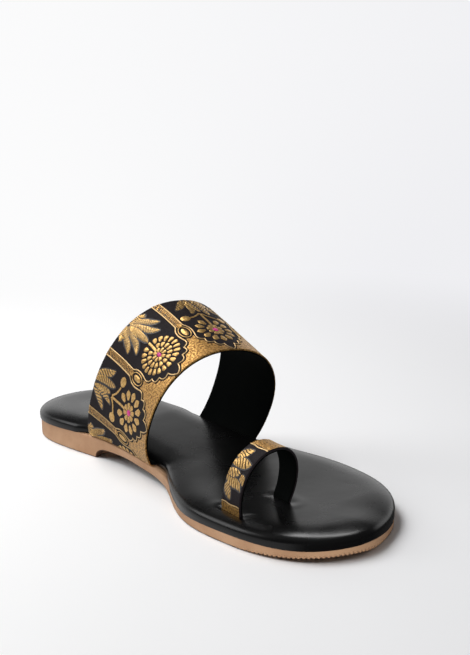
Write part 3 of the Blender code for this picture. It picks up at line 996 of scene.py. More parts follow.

# %% [markdown]
# ## Footbed
# The footbed is a foam pad in smooth black leatherette, turned under at its edge. It is a pad with
# a soft roll all round, drawn in where the strap passes beside it. A cloth simulation would blur
# its even roll, so it is lofted from the roll's own profile and the top is crossed from side to
# side. The skin hangs a little over the sole's side, most where the pad swells out past the waist
# and at the toe. The wear and the pull of the ring's legs are pressed in as soft hollows.

# %% Footbed profile
FOOTBED_EDGE = table(
    "inset rise",
    (-0.2, 0.0), (-0.32, 1.1), (-0.28, 2.2), (0.2, 3.4), (1.0, 4.3), (2.1, 4.95), (3.5, 5.45),
    (5.0, 5.85), (7.0, 6.2), (9.5, 6.45), (12.5, 6.57), (15.5, 6.6),
)
ROLL_STEPS = 38
BAND_NIP = table(
    "ahead medial lateral", (0, 3.3, 1.6), (8, 3.0, 1.0), (15, 1.3, 0.4), (24, 0.2, 0), (32, 0, 0)
)
LIP = table(
    "station medial lateral",
    (0, 0.4, 0.4), (38, 0.45, 0.45), (54, 0.12, 0.12), (80, 0.12, 0.12), (120, 0.9, 0.8),
    (156, 1.1, 0.8), (165, 1.4, 0.8), (176, 1.0, 0.8), (187, 0.6, 0.8), (207, 0.3, 0.9),
    (220, 0.5, 1.1), (235, 0.9, 1.6), (244, 1.0, 2.0), (248.5, 1.1, 1.4), (250, 1.2, 1.2),
)
LIP_FADE_START, LIP_FADE = 0.05, 0.6
LIP_INSIDE = -0.06
NIP_START, HEEL_SWELL, HEEL_SWELL_END, HEEL_SWELL_FADE = 13.0, 0.4, 60.0, 20.0
HoopRow = namedtuple(
    "HoopRow",
    "medial_station lateral_station medial_curl lateral_curl height lean sideways fullness",
)
BAND_BACK = HoopRow(66.4, 84.8, 30.5, 26.0, 78.4, 35.1, -0.2, 2.22)
BAND_FRONT = HoopRow(119.3, 127.1, 44.7, 24.4, 64.5, 30.9, 1.5, 2.21)
RING_BACK = HoopRow(188.7, 195.1, 19.0, 18.0, 31.9, 8.2, 0.0, 2.1)
RING_FRONT = HoopRow(202.4, 206.8, 25.0, 29.0, 31.5, 8.0, -0.9, 2.17)
RING_FEET = ((-37.7, -9.5), (-38.7, -11.4))


def drawn_in():
    """How far the footbed's edge is drawn in at each point of the outline."""
    medial = EDGE.out_x < 0
    first = np.where(medial, BAND_BACK.medial_station, BAND_BACK.lateral_station)
    last = np.where(medial, BAND_FRONT.medial_station, BAND_FRONT.lateral_station)
    ahead = EDGE.station - last
    nip = np.where(medial, curve_of(BAND_NIP)(ahead), curve_of(BAND_NIP, 2)(ahead))
    started = smooth_step((EDGE.station - first) / NIP_START + 1)
    swollen = smooth_step((HEEL_SWELL_END - EDGE.station) / HEEL_SWELL_FADE)
    return started * nip - HEEL_SWELL * swollen


def lip_hang():
    """How far the skin hangs over the sole's side at each point, and its weight, 0 where nipped."""
    weight = 1 - smooth_step((drawn_in() - LIP_FADE_START) / LIP_FADE)
    return np.where(EDGE.out_x < 0, curve_of(LIP)(EDGE.station), curve_of(LIP, 2)(EDGE.station)), weight


def roll_profile():
    """Close steps of inset and lift along the rolled edge, evenly spaced."""
    insets, rises = np.array(FOOTBED_EDGE).T
    lifts = SEAT_GAP + rises * (FOOTBED_HEIGHT - SEAT_GAP) / rises[-1]
    along = np.r_[0, np.cumsum(np.hypot(np.diff(insets), np.diff(lifts)))]
    at = np.linspace(0, along[-1], ROLL_STEPS + 1)
    return np.column_stack([curve_through(along, insets)(at), curve_through(along, lifts)(at)])


print("nip, mm:", np.round([drawn_in().min(), drawn_in().max()], 2))

# %% [markdown]
# The leatherette is a smooth black skin with a very fine pebble and a satin shine. It mirrors
# little when looked at squarely and much more at a low angle, so its specular level is set low
# and the shine comes from the angle. The foam under it makes the skin slightly uneven.

# %% Leatherette finish
SKIN_BLACK, SKIN_GREY = (0.0018, 0.0018, 0.002, 1), (0.0035, 0.0034, 0.0035, 1)


def leatherette_finish():
    finish = new_finish("black_leatherette", Specular_IOR_Level=0.3)
    tree = finish.nodes
    where = object_place(tree)
    uneven = noise(tree, where, 45.0, 3.0)
    feed(finish, "Base Color", blend(tree, uneven, SKIN_BLACK, SKIN_GREY))
    inputs = {"Vector": where, "Scale": 1500.0, "Smoothness": 0.6}
    cells = add(tree, "ShaderNodeTexVoronoi", inputs, feature="SMOOTH_F1")
    feed(finish, "Roughness", fade(tree, uneven, 0.3, 0.7, 0.25, 0.31))
    pebble = maths(tree, "MULTIPLY", cells.outputs["Distance"], 0.02)
    bump(finish, maths(tree, "MULTIPLY_ADD", uneven, 1.0, pebble), 0.00035, 0.35)
    return finish


print("leatherette ready")

# %% [markdown]
# The hollows are soft bells: each has a centre, a depth and a reach along and across the shoe.
# Leather pulled down by a strap's leg sinks close to it and rises again as a faint ring, and the
# corners of the slit are pulled into short creases.

# %% Press in the hollows
HOLLOWS = table(
    "x station depth across along",
    (-35.6, 204.6, 0.55, 2.4, 1.6), (-33.6, 206.4, 0.30, 1.6, 1.2), (-12.0, 193.0, 0.40, 2.6, 1.8),
    (2.0, 36.0, 0.35, 17.0, 22.0), (0.0, 196.0, 0.30, 26.0, 22.0),
)
SLIT_DIPS, SLIT_REACH = (0.6, 0.2), 1.7
SLIT_RISE, SLIT_RISE_AT, SLIT_RISE_REACH = 0.12, 5.0, 2.6


def slit_ends():
    """The two slits of the ring's legs as pairs of points of x and station."""
    hoops = tuple(zip(RING_FEET, (RING_BACK, RING_FRONT)))
    return [[(feet[side], row[side]) for feet, row in hoops] for side in (0, 1)]


def distance_to(x, station, ends):
    """The distance of points from a straight slit in plan."""
    start, stop = np.array(ends[0]), np.array(ends[1])
    run = stop - start
    t = ((x - start[0]) * run[0] + (station - start[1]) * run[1]) / run.dot(run)
    t = np.clip(t, 0, 1)
    return np.hypot(x - start[0] - t * run[0], station - start[1] - t * run[1])


def hollow(x, station):
    """How far the top of the pad is pressed down, in millimetres."""
    down = np.zeros_like(x)
    for ends, dip in zip(slit_ends(), SLIT_DIPS):
        away = distance_to(x, station, ends)
        down += dip * np.exp(-((away / SLIT_REACH) ** 2))
        down -= SLIT_RISE * np.exp(-(((away - SLIT_RISE_AT) / SLIT_RISE_REACH) ** 2))
    for row in HOLLOWS:
        spread = ((x - row.x) / row.across) ** 2 + ((station - row.station) / row.along) ** 2
        down += row.depth * np.exp(-spread)
    return down


print("hollows:", len(HOLLOWS), "and two slits")

# %% [markdown]
# The pad is one closed stack of rings on the sole's outline. It starts inside the seat gap, turns
# round the lip that hangs over the side, and climbs the roll. The top is crossed from side to side.

# %% Make the footbed
PAD_COLUMNS, PRESSED_FROM = 40, (4.0, 6.0)


def lip_rings(drawn):
    """The skin turned under: from inside the seat gap out and down over the sole's side."""
    hang, weight = lip_hang()
    turned_in = 0.2 + drawn
    outside = drawn + FOOTBED_EDGE[0].inset
    steps = (
        (LIP_INSIDE, SEAT_GAP, 0.05),
        (LIP_INSIDE, -hang + 0.08, 0.04),
        (LIP_INSIDE - 0.06, -hang, 0.03),
        (outside + 0.06, -hang + 0.02, 0.02),
        (outside, -hang + 0.15, 0.01),
    )
    rings = [edge_ring(2.5 + drawn, lambda x, s: deck_level(x, s) + SEAT_GAP)]
    for inset, lift, apart in steps:
        inset = weight * inset + (1 - weight) * (turned_in + apart)
        lift = weight * lift + (1 - weight) * (SEAT_GAP - apart)
        rings.append(edge_ring(inset, lambda x, s: deck_level(x, s) + lift))
    return rings


def make_footbed(material):
    drawn = drawn_in()
    rings = lip_rings(drawn)
    for inset, lift in roll_profile():
        rings.append(edge_ring(inset + drawn, lambda x, s: deck_level(x, s) + lift))
    low, high = (lambda x, s, lift=lift: deck_level(x, s) + lift for lift in (SEAT_GAP, FOOTBED_HEIGHT))
    points, faces = stack(rings, PAD_COLUMNS, low, high)
    lift = points[:, 2] - deck_level(points[:, 0], points[:, 1])
    upper = rising(lift, *PRESSED_FROM)
    points[:, 2] -= upper * hollow(points[:, 0], points[:, 1])
    world = place(points)
    return new_piece("footbed_pad", world, outward(world, faces), material)


black_leatherette = leatherette_finish()
footbed_pad = make_footbed(black_leatherette.material)
print("footbed faces:", len(footbed_pad.data.polygons))

# %% [markdown]
# ## Strap shapes
# A strap is a wide hoop: a full arch that curls in at its feet, leans towards the toe, and is
# tucked under the footbed or down through a slit. Its shape follows from a hoop at its back edge
# and one at its front edge, with every line between them blended. Each line is resampled to even
# steps, so that a point on the strap has a share along it and a share across it. Those two shares
# are what the brocade is laid on later.

# %% Hoops
ARCH_STEPS = 90


def hoop(near, far, row):
    """The curve from one foot over the top to the other."""
    start = -math.radians(row.medial_curl)
    stop = math.pi + math.radians(row.lateral_curl)
    power = 2 / row.fullness
    turns = np.linspace(start, stop, 6 * ARCH_STEPS)
    across = -np.sign(np.cos(turns)) * np.abs(np.cos(turns)) ** power
    up = np.sign(np.sin(turns)) * np.abs(np.sin(turns)) ** power
    across = (across - across[0]) / (across[-1] - across[0])
    up = up - up[0] * (1 - across) - up[-1] * across
    up /= up.max()
    rise = np.array([row.sideways, row.lean, row.height])
    return near + np.outer(across, far - near) + np.outer(up, rise)


def lengths_along(points):
    return np.r_[0, np.cumsum(np.linalg.norm(np.diff(points, axis=0), axis=1))]


def evenly(points, steps):
    """The same curve as steps + 1 points, equally far apart along it."""
    along = lengths_along(points)
    wanted = np.linspace(0, along[-1], steps + 1)
    return np.stack([np.interp(wanted, along, points[:, k]) for k in range(3)], axis=1)


def rounded(before, at, after):
    """A rounded corner from before to after, pulled towards at."""
    t = np.linspace(0, 1, 9)[:, None]
    return (1 - t) ** 2 * before + 2 * t * (1 - t) * at + t * t * after


def trim(points, reach):
    along = lengths_along(points)
    return points[(along >= reach) & (along <= along[-1] - reach)]


def between(back, front, share):
    return HoopRow(*[a + (b - a) * share for a, b in zip(back, front)])


print("hoop helpers ready")

# %% [markdown]
# The band's line starts at a tuck under the footbed, turns round the footbed's edge and goes over
# the instep. The ring's starts at a tab, comes up through its slit, and bends into the hoop. The
# tucks and the tabs are hidden, but they keep the ends of the cloth out of sight from any side.

# %% Lines of the band and the ring
BAND_TUCK, BAND_OVERHANG, BAND_CORNER = 12.0, 0.5, 2.2
RING_TUCK, RING_BEND, RING_CORNER = 8.0, 1.2, 3.3


def on_deck(x, station, lift):
    return np.array((x, station, float(deck_height(station)) + lift))


def band_section(share):
    """One line over the instep, from tuck to tuck."""
    row = between(BAND_BACK, BAND_FRONT, share)
    medial_x = edge_x(True, row.medial_station) - BAND_OVERHANG
    lateral_x = edge_x(False, row.lateral_station) + BAND_OVERHANG
    near = on_deck(medial_x, row.medial_station, SEAT_GAP)
    far = on_deck(lateral_x, row.lateral_station, SEAT_GAP)
    inwards = np.array([1.0, 0.0, 0.0])
    arch = evenly(trim(hoop(near, far, row), BAND_CORNER), ARCH_STEPS)
    return np.concatenate(
        [
            [near + inwards * BAND_TUCK],
            rounded(near + inwards * BAND_CORNER, near, arch[0]),
            arch[1:-1],
            rounded(arch[-1], far, far - inwards * BAND_CORNER),
            [far - inwards * BAND_TUCK],
        ]
    )


def ring_section(share):
    """One line round the toe: tab, leg, hoop, leg and tab."""
    row = between(RING_BACK, RING_FRONT, share)
    back_x, front_x = np.array(RING_FEET)
    medial_x, lateral_x = back_x + (front_x - back_x) * share
    near = on_deck(medial_x, row.medial_station, FOOTBED_HEIGHT)
    far = on_deck(lateral_x, row.lateral_station, FOOTBED_HEIGHT)
    inwards = unit(far - near)
    down = np.array([0.0, 0.0, -1.0])
    leg = FOOTBED_HEIGHT - SEAT_GAP
    arch = evenly(trim(hoop(near, far, row), RING_CORNER), ARCH_STEPS)
    low_near, low_far = near + down * leg, far + down * leg
    return np.concatenate(
        [
            [low_near + inwards * RING_TUCK],
            rounded(low_near + inwards * RING_CORNER, low_near, low_near - down * RING_CORNER),
            rounded(near + down * RING_BEND, near, arch[0]),
            arch[1:-1],
            rounded(arch[-1], far, far + down * RING_BEND),
            rounded(low_far - down * RING_CORNER, low_far, low_far - inwards * RING_CORNER),
            [low_far - inwards * RING_TUCK],
        ]
    )


print("points in a line of the ring:", len(ring_section(0.5)))

# %% [markdown]
# Both lines are read as a grid of points. From the grid come the directions out of the strap and
# across it, which the layers and the figures are offset along.

# %% Strap grids
Strap = namedtuple("Strap", "name section along across length width")
BAND = Strap("band", band_section, 168, 26, 200.0, 55.0)
RING = Strap("ring", ring_section, 96, 8, 96.7, 13.6)


def strap_grid(strap):
    """Points of the outer face: first across the strap, then along it, tucks left out."""
    sections = [strap.section(k / strap.across) for k in range(strap.across + 1)]
    return np.array([evenly(section[1:-1], strap.along) for section in sections])


def grid_normals(grid):
    """Directions out of the strap, and across it from its back to its front edge."""
    across = np.gradient(grid, axis=0)
    along = np.gradient(grid, axis=1)
    out = unit(np.cross(along, across))
    sideways = unit(np.cross(out, along))
    outside = np.sum(out[:, grid.shape[1] // 2, 2]) > 0
    forward = np.sum(sideways * across) > 0
    return out if outside else -out, sideways if forward else -sideways


GRIDS = {strap.name: strap_grid(strap) for strap in (BAND, RING)}
for strap_name, grid in GRIDS.items():
    lengths = [round(float(lengths_along(row)[-1]), 1) for row in (grid[0], grid[-1])]
    print(strap_name, "length at back and front edge, mm:", lengths)

# %% [markdown]
# ## Strap layers
# The cloth's ground is a black satin twill: fine slanting ridges half a millimetre apart, crossed
# by the weft. The lining is a thin matt leatherette, a little green in the light.

# %% Cloth finishes
TWILL_PITCH, TWILL_TURN = 0.55, math.radians(38)
WEFT_PITCH, WEFT_TURN = 0.42, math.radians(90)
THREAD_BLACK, THREAD_GREY = (0.004, 0.0032, 0.0038, 1), (0.017, 0.013, 0.015, 1)
LINT = (0.04, 0.024, 0.018, 1)
LINING_BLACK, LINING_GREEN = (0.0004, 0.0007, 0.0006, 1), (0.0012, 0.0018, 0.0016, 1)


def wave(tree, where, pitch):
    """Soft ridges across x, one to each pitch in millimetres."""
    x = add(tree, "ShaderNodeSeparateXYZ", {0: where}).outputs["X"]
    turn = maths(tree, "MULTIPLY", x, 2 * math.pi / pitch)
    return maths(tree, "MULTIPLY_ADD", maths(tree, "SINE", turn), 0.5, 0.5)


def ground_finish():
    finish = new_finish("brocade_ground", Roughness=0.6, Specular_IOR_Level=0.1)
    tree = finish.nodes
    twill = wave(tree, cloth_place(tree, TWILL_TURN), TWILL_PITCH)
    weft = wave(tree, cloth_place(tree, WEFT_TURN), WEFT_PITCH)
    fuzz = noise(tree, cloth_place(tree), 2.2, 3.0)
    ridge = maths(tree, "MULTIPLY_ADD", weft, 0.35, twill)
    black = blend(tree, ridge, THREAD_BLACK, THREAD_GREY)
    lint = fade(tree, fuzz, 0.62, 0.78, 0.0, 0.4)
    feed(finish, "Base Color", blend(tree, lint, black, LINT))
    bump(finish, maths(tree, "MULTIPLY_ADD", fuzz, 0.4, ridge), 0.00008, 0.7)
    return finish


def lining_finish():
    finish = new_finish("strap_lining", Roughness=0.75, Specular_IOR_Level=0.05)
    tree = finish.nodes
    where = object_place(tree)
    cloud = noise(tree, where, 90.0, 3.0)
    feed(finish, "Base Color", blend(tree, cloud, LINING_BLACK, LINING_GREEN))
    bump(finish, noise(tree, where, 1800.0, 2.0), 0.00008, 0.6)
    return finish


print("cloth finishes ready")

# %% [markdown]
# A strap is two layers sewn back to back: the brocade, which is folded round the edges, and a thin
# black lining inside, which shows past the fold as a fine dark line. Each layer is a closed shell.
# Its cross line is a loop, over the outer face, round the front edge, back along the inner face and
# round the back edge, and the loops are joined along the strap.

# %% Make the strap layers
Layer = namedtuple("Layer", "name top bottom spread round")
EDGE_TURNS = np.linspace(0, np.pi / 2, 4)
FOLD_ROUND = 0.3
TUCK_STEPS = 3


def with_tucks(strap, grid):
    """The grid with the turned-in ends added, as steps towards the ends of the tucks."""
    ends = np.array([strap.section(k / strap.across)[[0, -1]] for k in range(strap.across + 1)])
    shares = (np.arange(1, TUCK_STEPS + 1) / TUCK_STEPS)[None, :, None]
    first = grid[:, :1] + shares[:, ::-1] * (ends[:, :1] - grid[:, :1])
    last = grid[:, -1:] + shares * (ends[:, 1:] - grid[:, -1:])
    return np.concatenate([first, grid, last], axis=1)


def layer_loops(strap, layer):
    """Closed loops round the layer's cross section, one for each step along the strap."""
    grid = with_tucks(strap, GRIDS[strap.name])
    out, sideways = grid_normals(grid)

    def row(k, side, depth):
        return grid[k] + sideways[k] * side - out[k] * depth

    def corner(k, way, depth, inwards):
        """A rounded corner, from the layer's flat face out to its edge."""
        insets = layer.round * (1 - np.sin(EDGE_TURNS))
        drops = layer.round * (1 - np.cos(EDGE_TURNS)) * inwards
        return [row(k, way * (layer.spread - inset), depth + drop) for inset, drop in zip(insets, drops)]

    rows = corner(0, -1, layer.top, 1)[::-1]
    rows += [row(k, 0.0, layer.top) for k in range(1, strap.across)]
    rows += corner(-1, 1, layer.top, 1) + corner(-1, 1, layer.bottom, -1)[::-1]
    rows += [row(k, 0.0, layer.bottom) for k in range(strap.across - 1, 0, -1)]
    rows += corner(0, -1, layer.bottom, -1)
    return np.array(rows).transpose(1, 0, 2)


def layer_uv(strap, loops):
    """Metres along the strap and round the cross section, for the weave."""
    count = len(loops)
    along = np.linspace(0, strap.length * count / strap.along, count)
    across = lengths_along(loops[count // 2])
    uv = np.stack(np.meshgrid(along, across, indexing="ij"), axis=-1)
    return uv.reshape(-1, 2) * MM


def make_layer(strap, layer, material):
    loops = layer_loops(strap, layer)
    points = place(loops.reshape(-1, 3))
    faces = outward(points, capped(*loops.shape[:2]))
    return new_piece(layer.name, points, faces, material, layer_uv(strap, loops))


brocade_ground = ground_finish()
strap_lining = lining_finish()
band_cloth = make_layer(BAND, Layer("band_cloth", 0.0, 0.9, 0.0, FOLD_ROUND), brocade_ground.material)
band_lining = make_layer(BAND, Layer("band_lining", 0.85, 1.4, 0.1, 0.2), strap_lining.material)
ring_cloth = make_layer(RING, Layer("ring_cloth", 0.0, 1.2, 0.0, FOLD_ROUND), brocade_ground.material)
ring_lining = make_layer(RING, Layer("ring_lining", 1.1, 1.7, 0.12, 0.25), strap_lining.material)
for piece in (band_cloth, band_lining, ring_cloth, ring_lining):
    print(piece.name, "faces:", len(piece.data.polygons))

# %% [markdown]
# ## The brocade's figures
# The brocade is woven in panels side by side: a palm with a flower under it, and a second one with
# buds. Each panel is framed by a bright line of gold thread that runs down the bar between two
# panels, round an oval, and along a scalloped edge to a point. Below the scallops the ground is
# all gold. On the cloth every figure is a float of gold thread that stands a fifth of a millimetre
# proud, so each is made as a low closed cushion, ribbon or slab and not painted on. Cloth
# coordinates are millimetres along the strap, and across it from its back edge.

# %% Cushions and ribbons
PROUD, GROUND_PROUD, SUNK = 0.2, 0.12, -0.06
DARK, GOLD, LINE, GROUND, SILK = -1.0, 0.0, 0.25, 0.5, 1.0
Figure = namedtuple("Figure", "points faces thread")


def turned_left(outline):
    """The outline as an array that goes round counterclockwise."""
    outline = np.asarray(outline, float)
    after = np.roll(outline, -1, axis=0)
    area = np.sum(outline[:, 0] * after[:, 1] - outline[:, 1] * after[:, 0])
    return outline if area > 0 else outline[::-1]


def lifted(flat, height):
    return np.column_stack([flat, np.full(len(flat), height)])


def cushion(outline, height=PROUD, inner=0.78, thread=GOLD):
    """A low closed pillow over an outline."""
    rim = turned_left(outline)
    size = len(rim)
    middle = rim.mean(axis=0)
    shoulder = middle + (rim - middle) * inner
    tips = [lifted(middle[None], height), lifted(middle[None], SUNK)]
    points = np.concatenate([lifted(rim, SUNK), lifted(shoulder, height * 0.8), *tips])
    top, bottom = 2 * size, 2 * size + 1
    faces = []
    for k in range(size):
        after = (k + 1) % size
        faces += [[k, after, size + after, size + k], [size + k, size + after, top], [after, k, bottom]]
    return Figure(points, faces, thread)


def ribbon(path, width, height=PROUD, closed=False, thread=GOLD):
    """A low ridge that follows a path."""
    path = np.asarray(path, float)
    left = left_of(path, closed)
    low = height * 0.45
    rows = ((0.5, SUNK), (0.5, low), (0.22, height), (-0.22, height), (-0.5, low), (-0.5, SUNK))
    loops = np.stack([lifted(path + left * side * width, z) for side, z in rows], axis=1)
    count, size = loops.shape[:2]
    faces = capped(count, size)
    if closed:
        last = (count - 1) * size
        faces[-2:] = [[last + k, last + (k + 1) % size, (k + 1) % size, k] for k in range(size)]
    return Figure(loops.reshape(-1, 3), faces, thread)


def slab(pairs, height):
    """A thin dark plate between two sides, given as pairs of points."""
    points = np.concatenate([[*lifted(pair, SUNK), *lifted(pair[::-1], height)] for pair in pairs])
    return Figure(points, outward(points, capped(len(pairs), 4)), DARK)


def ellipse(x, y, across, down, count=12):
    turns = np.arange(count) * 2 * math.pi / count
    return np.column_stack([x + across * np.cos(turns), y + down * np.sin(turns)])


def bowed(start, stop, bow, count):
    """Points from start to stop on a parabola that bows to the left by `bow`."""
    start, stop = np.array(start, float), np.array(stop, float)
    t = np.linspace(0, 1, count)[:, None]
    run = stop - start
    left = np.array([-run[1], run[0]]) / np.linalg.norm(run)
    return start + run * t + left * bow * 4 * t * (1 - t)


print("a cushion has", len(cushion(ellipse(0, 0, 1, 1)).faces), "faces")

# %% [markdown]
# A leaf is a stack of slanted strips, as a weaver floats the thread over a few ends at a time, on a
# dark leaf that sets it off from those behind. It runs from its root to its tip, which hooks outwards
# like a claw. It has a width, a bow to one side, its level over the leaves behind it, and the gap and
# pitch of its strips.

# %% Leaves
LEAF = "root tip hook width bow level gap pitch"
LEAF_SHARES = (0.0, 0.15, 0.35, 0.55, 0.75, 0.9, 1.0)
LEAF_HALVES = (0.26, 0.68, 0.96, 1.0, 0.88, 0.58, 0.08)
LEAF_BASE, LEAF_LEVEL, LEAF_RELIEF, LEAF_SLANT, LEAF_OUTLINE = 0.05, 0.045, 0.06, 1.9, 0.55
HOOK_FROM, FEWEST_STRIPS = 0.72, 5


def leaf(row):
    """A leaf of slanted strips, each a float of thread, over a dark leaf that sets it off."""
    length = math.dist(row.root, row.tip)
    shares = np.linspace(0, 1, 41)
    hook = np.array(row.hook)
    spine = bowed(row.root, row.tip - hook, row.bow, 41)
    spine += hook * np.clip((shares - HOOK_FROM) / (1 - HOOK_FROM), 0, 1)[:, None] ** 2
    left = left_of(spine)
    half = row.width / 2 * curve_through(LEAF_SHARES, LEAF_HALVES)(shares)
    height = LEAF_BASE + LEAF_LEVEL * row.level

    def at(share, side, wider=0.0):
        read = [[np.interp(share, shares, line[:, k]) for k in (0, 1)] for line in (spine, left)]
        centre, out = np.array(read)
        return centre + out * (np.interp(share, shares, half) + wider) * side

    marks = np.linspace(0, 1, 12)
    under = np.array([[at(m, 1, LEAF_OUTLINE), at(m, -1, LEAF_OUTLINE)] for m in marks])
    figures = [slab(under, height)]
    steps = max(FEWEST_STRIPS, round(length / row.pitch))
    lean = math.copysign(LEAF_SLANT / length, -row.tip[0])
    for k in range(steps):
        low = (k + row.gap / 2 / row.pitch) / steps
        high = (k + 1 - row.gap / 2 / row.pitch) / steps
        outline = [at(low - lean, 1), at(low, 0), at(low + lean, -1)]
        outline += [at(high + lean, -1), at(high, 0), at(high - lean, 1)]
        figures.append(cushion(outline, height + LEAF_RELIEF, 0.84))
    return figures


print("shares along a leaf:", LEAF_SHARES)

# %% [markdown]
# A flower is rings of petals round an eye. A petal is one cushion, narrow at its root, and round or
# pointed at its end.

# %% Petals


def petal(x, y, turn, inner, outer, width, pointed=False):
    """A petal round a flower's middle, between two radii."""
    shares = (0.0, 0.25, 0.58, 0.84, 0.97, 1.0)
    halves = (0.30, 0.62, 1.0, 0.60, 0.12, 0.0) if pointed else (0.42, 0.68, 0.97, 0.97, 0.62, 0.30)
    side = [(inner + (outer - inner) * s, width / 2 * h) for s, h in zip(shares, halves)]
    outline = side + [(r, -h) for r, h in reversed(side) if h > 0]
    cos, sin = math.cos(turn), math.sin(turn)
    return cushion([(x + r * cos - h * sin, y + r * sin + h * cos) for r, h in outline], PROUD, 0.74)


def petal_ring(x, y, count, inner, outer, width, first=0.0, skip_top=False, pointed=False):
    """Evenly turned petals. The top one, towards the strap's back edge, may be left out."""
    figures = []
    for k in range(count):
        turn = -math.pi / 2 + (k + first) * 2 * math.pi / count
        if k or not skip_top:
            figures.append(petal(x, y, turn, inner, outer, width, pointed))
    return figures


print("a petal has", len(petal(0, 0, 0, 1, 4, 2).faces), "faces")

# %% [markdown]
# The first panel holds a palm of long leaves over a many-petalled flower with a pink silk eye. The
# second has a shorter, broader palm, a stem with two buds, and a flower of pointed petals. The
# ring is cut from another place, with a palm between two bars, mirrored on its outer side. The
# tables give each leaf, and the leaves behind come first.

# %% Leaf tables
PALM_ONE = table(
    LEAF,
    ((-1.0, -3.0), (-10.2, 3.0), (-1.6, -3.2), 4.8, 0.6, 0, 0.36, 1.15),
    ((2.5, -3.0), (10.6, 2.2), (1.8, -3.6), 4.8, -0.6, 0, 0.48, 1.15),
    ((-0.5, 0.0), (-12.3, 15.0), (-1.8, -1.2), 4.4, 1.1, 1, 0.36, 1.15),
    ((1.0, 0.0), (12.8, 14.6), (1.8, -1.2), 4.2, -1.2, 1, 0.48, 1.15),
    ((-0.4, 1.6), (-9.2, 21.1), (-1.7, -0.3), 4.5, -0.6, 2, 0.34, 1.1),
    ((0.8, 1.6), (9.6, 20.6), (1.7, -0.4), 4.5, 0.4, 2, 0.48, 1.15),
    ((0.1, 2.4), (0.3, 21.8), (0.0, 0.0), 4.3, 0.0, 3, 0.36, 1.1),
)
PALM_TWO = table(
    LEAF,
    ((-1.5, -1.5), (-12.6, 11.4), (-1.2, -0.5), 4.5, -0.4, 0, 0.50, 2.1),
    ((3.0, -1.5), (12.4, 13.6), (2.2, -0.5), 4.8, -0.8, 0, 0.48, 2.1),
    ((-1.6, -1.5), (-6.0, 17.4), (-2.0, 0.3), 4.2, 0.0, 1, 0.48, 2.1),
    ((1.0, -1.0), (5.1, 18.1), (1.5, 0.2), 4.4, -1.7, 1, 0.46, 2.1),
    ((-2.2, 0.0), (0.1, 15.4), (0.0, 0.0), 3.8, 0.0, 2, 0.42, 2.0),
)
RING_PALM = table(
    LEAF,
    ((23.2, 1.8), (14.3, 6.4), (-0.9, 0.9), 5.0, 0.5, 0, 0.46, 1.6),
    ((28.6, 9.6), (23.8, 13.6), (-1.2, 0.9), 3.8, -0.3, 0, 0.46, 1.6),
    ((26.4, -0.4), (20.6, 12.9), (-3.2, 0.8), 5.6, 1.2, 1, 0.50, 2.0),
    ((28.4, -1.6), (28.9, 9.2), (0.2, 0.2), 4.4, 0.2, 2, 0.46, 2.1),
    ((32.4, -1.0), (34.6, 13.0), (1.6, 0.8), 5.4, -1.1, 1, 0.50, 2.0),
    ((35.6, 0.0), (41.6, 7.2), (1.4, 0.6), 5.0, -0.4, 0, 0.46, 1.6),
)


print("leaves in the palms:", len(PALM_ONE), len(PALM_TWO), len(RING_PALM))

# %% [markdown]
# Each panel is a list of figures round its own middle line: the palm, the flower's rings of petals
# with the pink eye over them, the stems and the buds.

# %% Palms and flowers
RING_BARS, RING_LINES, RING_MIRROR = ((0.0, 11.6), (44.6, 52.4)), (12.2, 43.9, 53.1), 97.0


def panel_one():
    figures = [part for row in PALM_ONE for part in leaf(row)]
    x, y = 0.2, 34.2
    figures += petal_ring(x, y, 8, 1.4, 4.4, 2.3, first=0.5)
    figures += petal_ring(x, y, 14, 4.7, 7.9, 2.65, skip_top=True)
    figures += petal_ring(x, y, 20, 8.3, 12.1, 2.7, skip_top=True)
    figures.append(cushion(ellipse(x, y, 1.15, 2.0), PROUD + 0.08, thread=SILK))
    figures.append(ribbon([(0.45, 22.4), (0.5, 25.0), (0.4, 28.0), (0.3, 31.0)], 1.35))
    return figures


def panel_two():
    figures = [part for row in PALM_TWO for part in leaf(row)]
    x, y = -0.3, 34.5
    figures += petal_ring(x, y, 8, 1.6, 5.3, 2.9, first=0.5)
    figures += petal_ring(x, y, 12, 6.3, 12.0, 4.4, skip_top=True, pointed=True)
    figures.append(cushion(ellipse(x, y, 1.8, 1.8), PROUD + 0.08, thread=SILK))
    figures.append(ribbon(bowed((-1.5, 16.6), (-9.2, 20.7), -0.9, 7), 1.0))
    figures.append(ribbon(bowed((-0.2, 16.9), (7.6, 22.0), 0.9, 7), 1.0))
    figures.append(ribbon([(-1.0, 16.9), (-0.9, 21.0), (-0.5, 25.0), (-0.3, 30.4)], 1.35))
    for across, down, wide in ((-11.6, 20.4, 3.0), (10.6, 22.2, 2.9)):
        figures.append(cushion(ellipse(across, down, wide, 2.7), PROUD))
    return figures


def ring_figures():
    """The hoop's own cut: a palm between two bars, and the same mirrored on the outer side."""
    figures = []
    for row in RING_PALM:
        figures += leaf(row)
        root, tip = [(RING_MIRROR - end[0], end[1]) for end in (row.root, row.tip)]
        figures += leaf(row._replace(root=root, tip=tip, hook=(-row.hook[0], row.hook[1]), bow=-row.bow))
    for first, last in RING_BARS:
        places = np.linspace(first, last, round(last - first) + 1)
        pairs = np.array([[(along, 16.0), (along, -2.0)] for along in places])
        figures.append(slab(pairs, GROUND_PROUD)._replace(thread=GROUND))
    for along in RING_LINES:
        path = [(along + 0.25 * math.sin(down * 0.7), down) for down in range(-2, 17)]
        figures.append(ribbon(path, 0.66, PROUD + 0.05, thread=LINE))
    return figures


print("figures in the panels:", len(panel_one()), len(panel_two()), len(ring_figures()))

# %% [markdown]
# Each panel's frame is read from its pointed tip, over three scallops that bulge outwards, round
# the oval and up the bar.

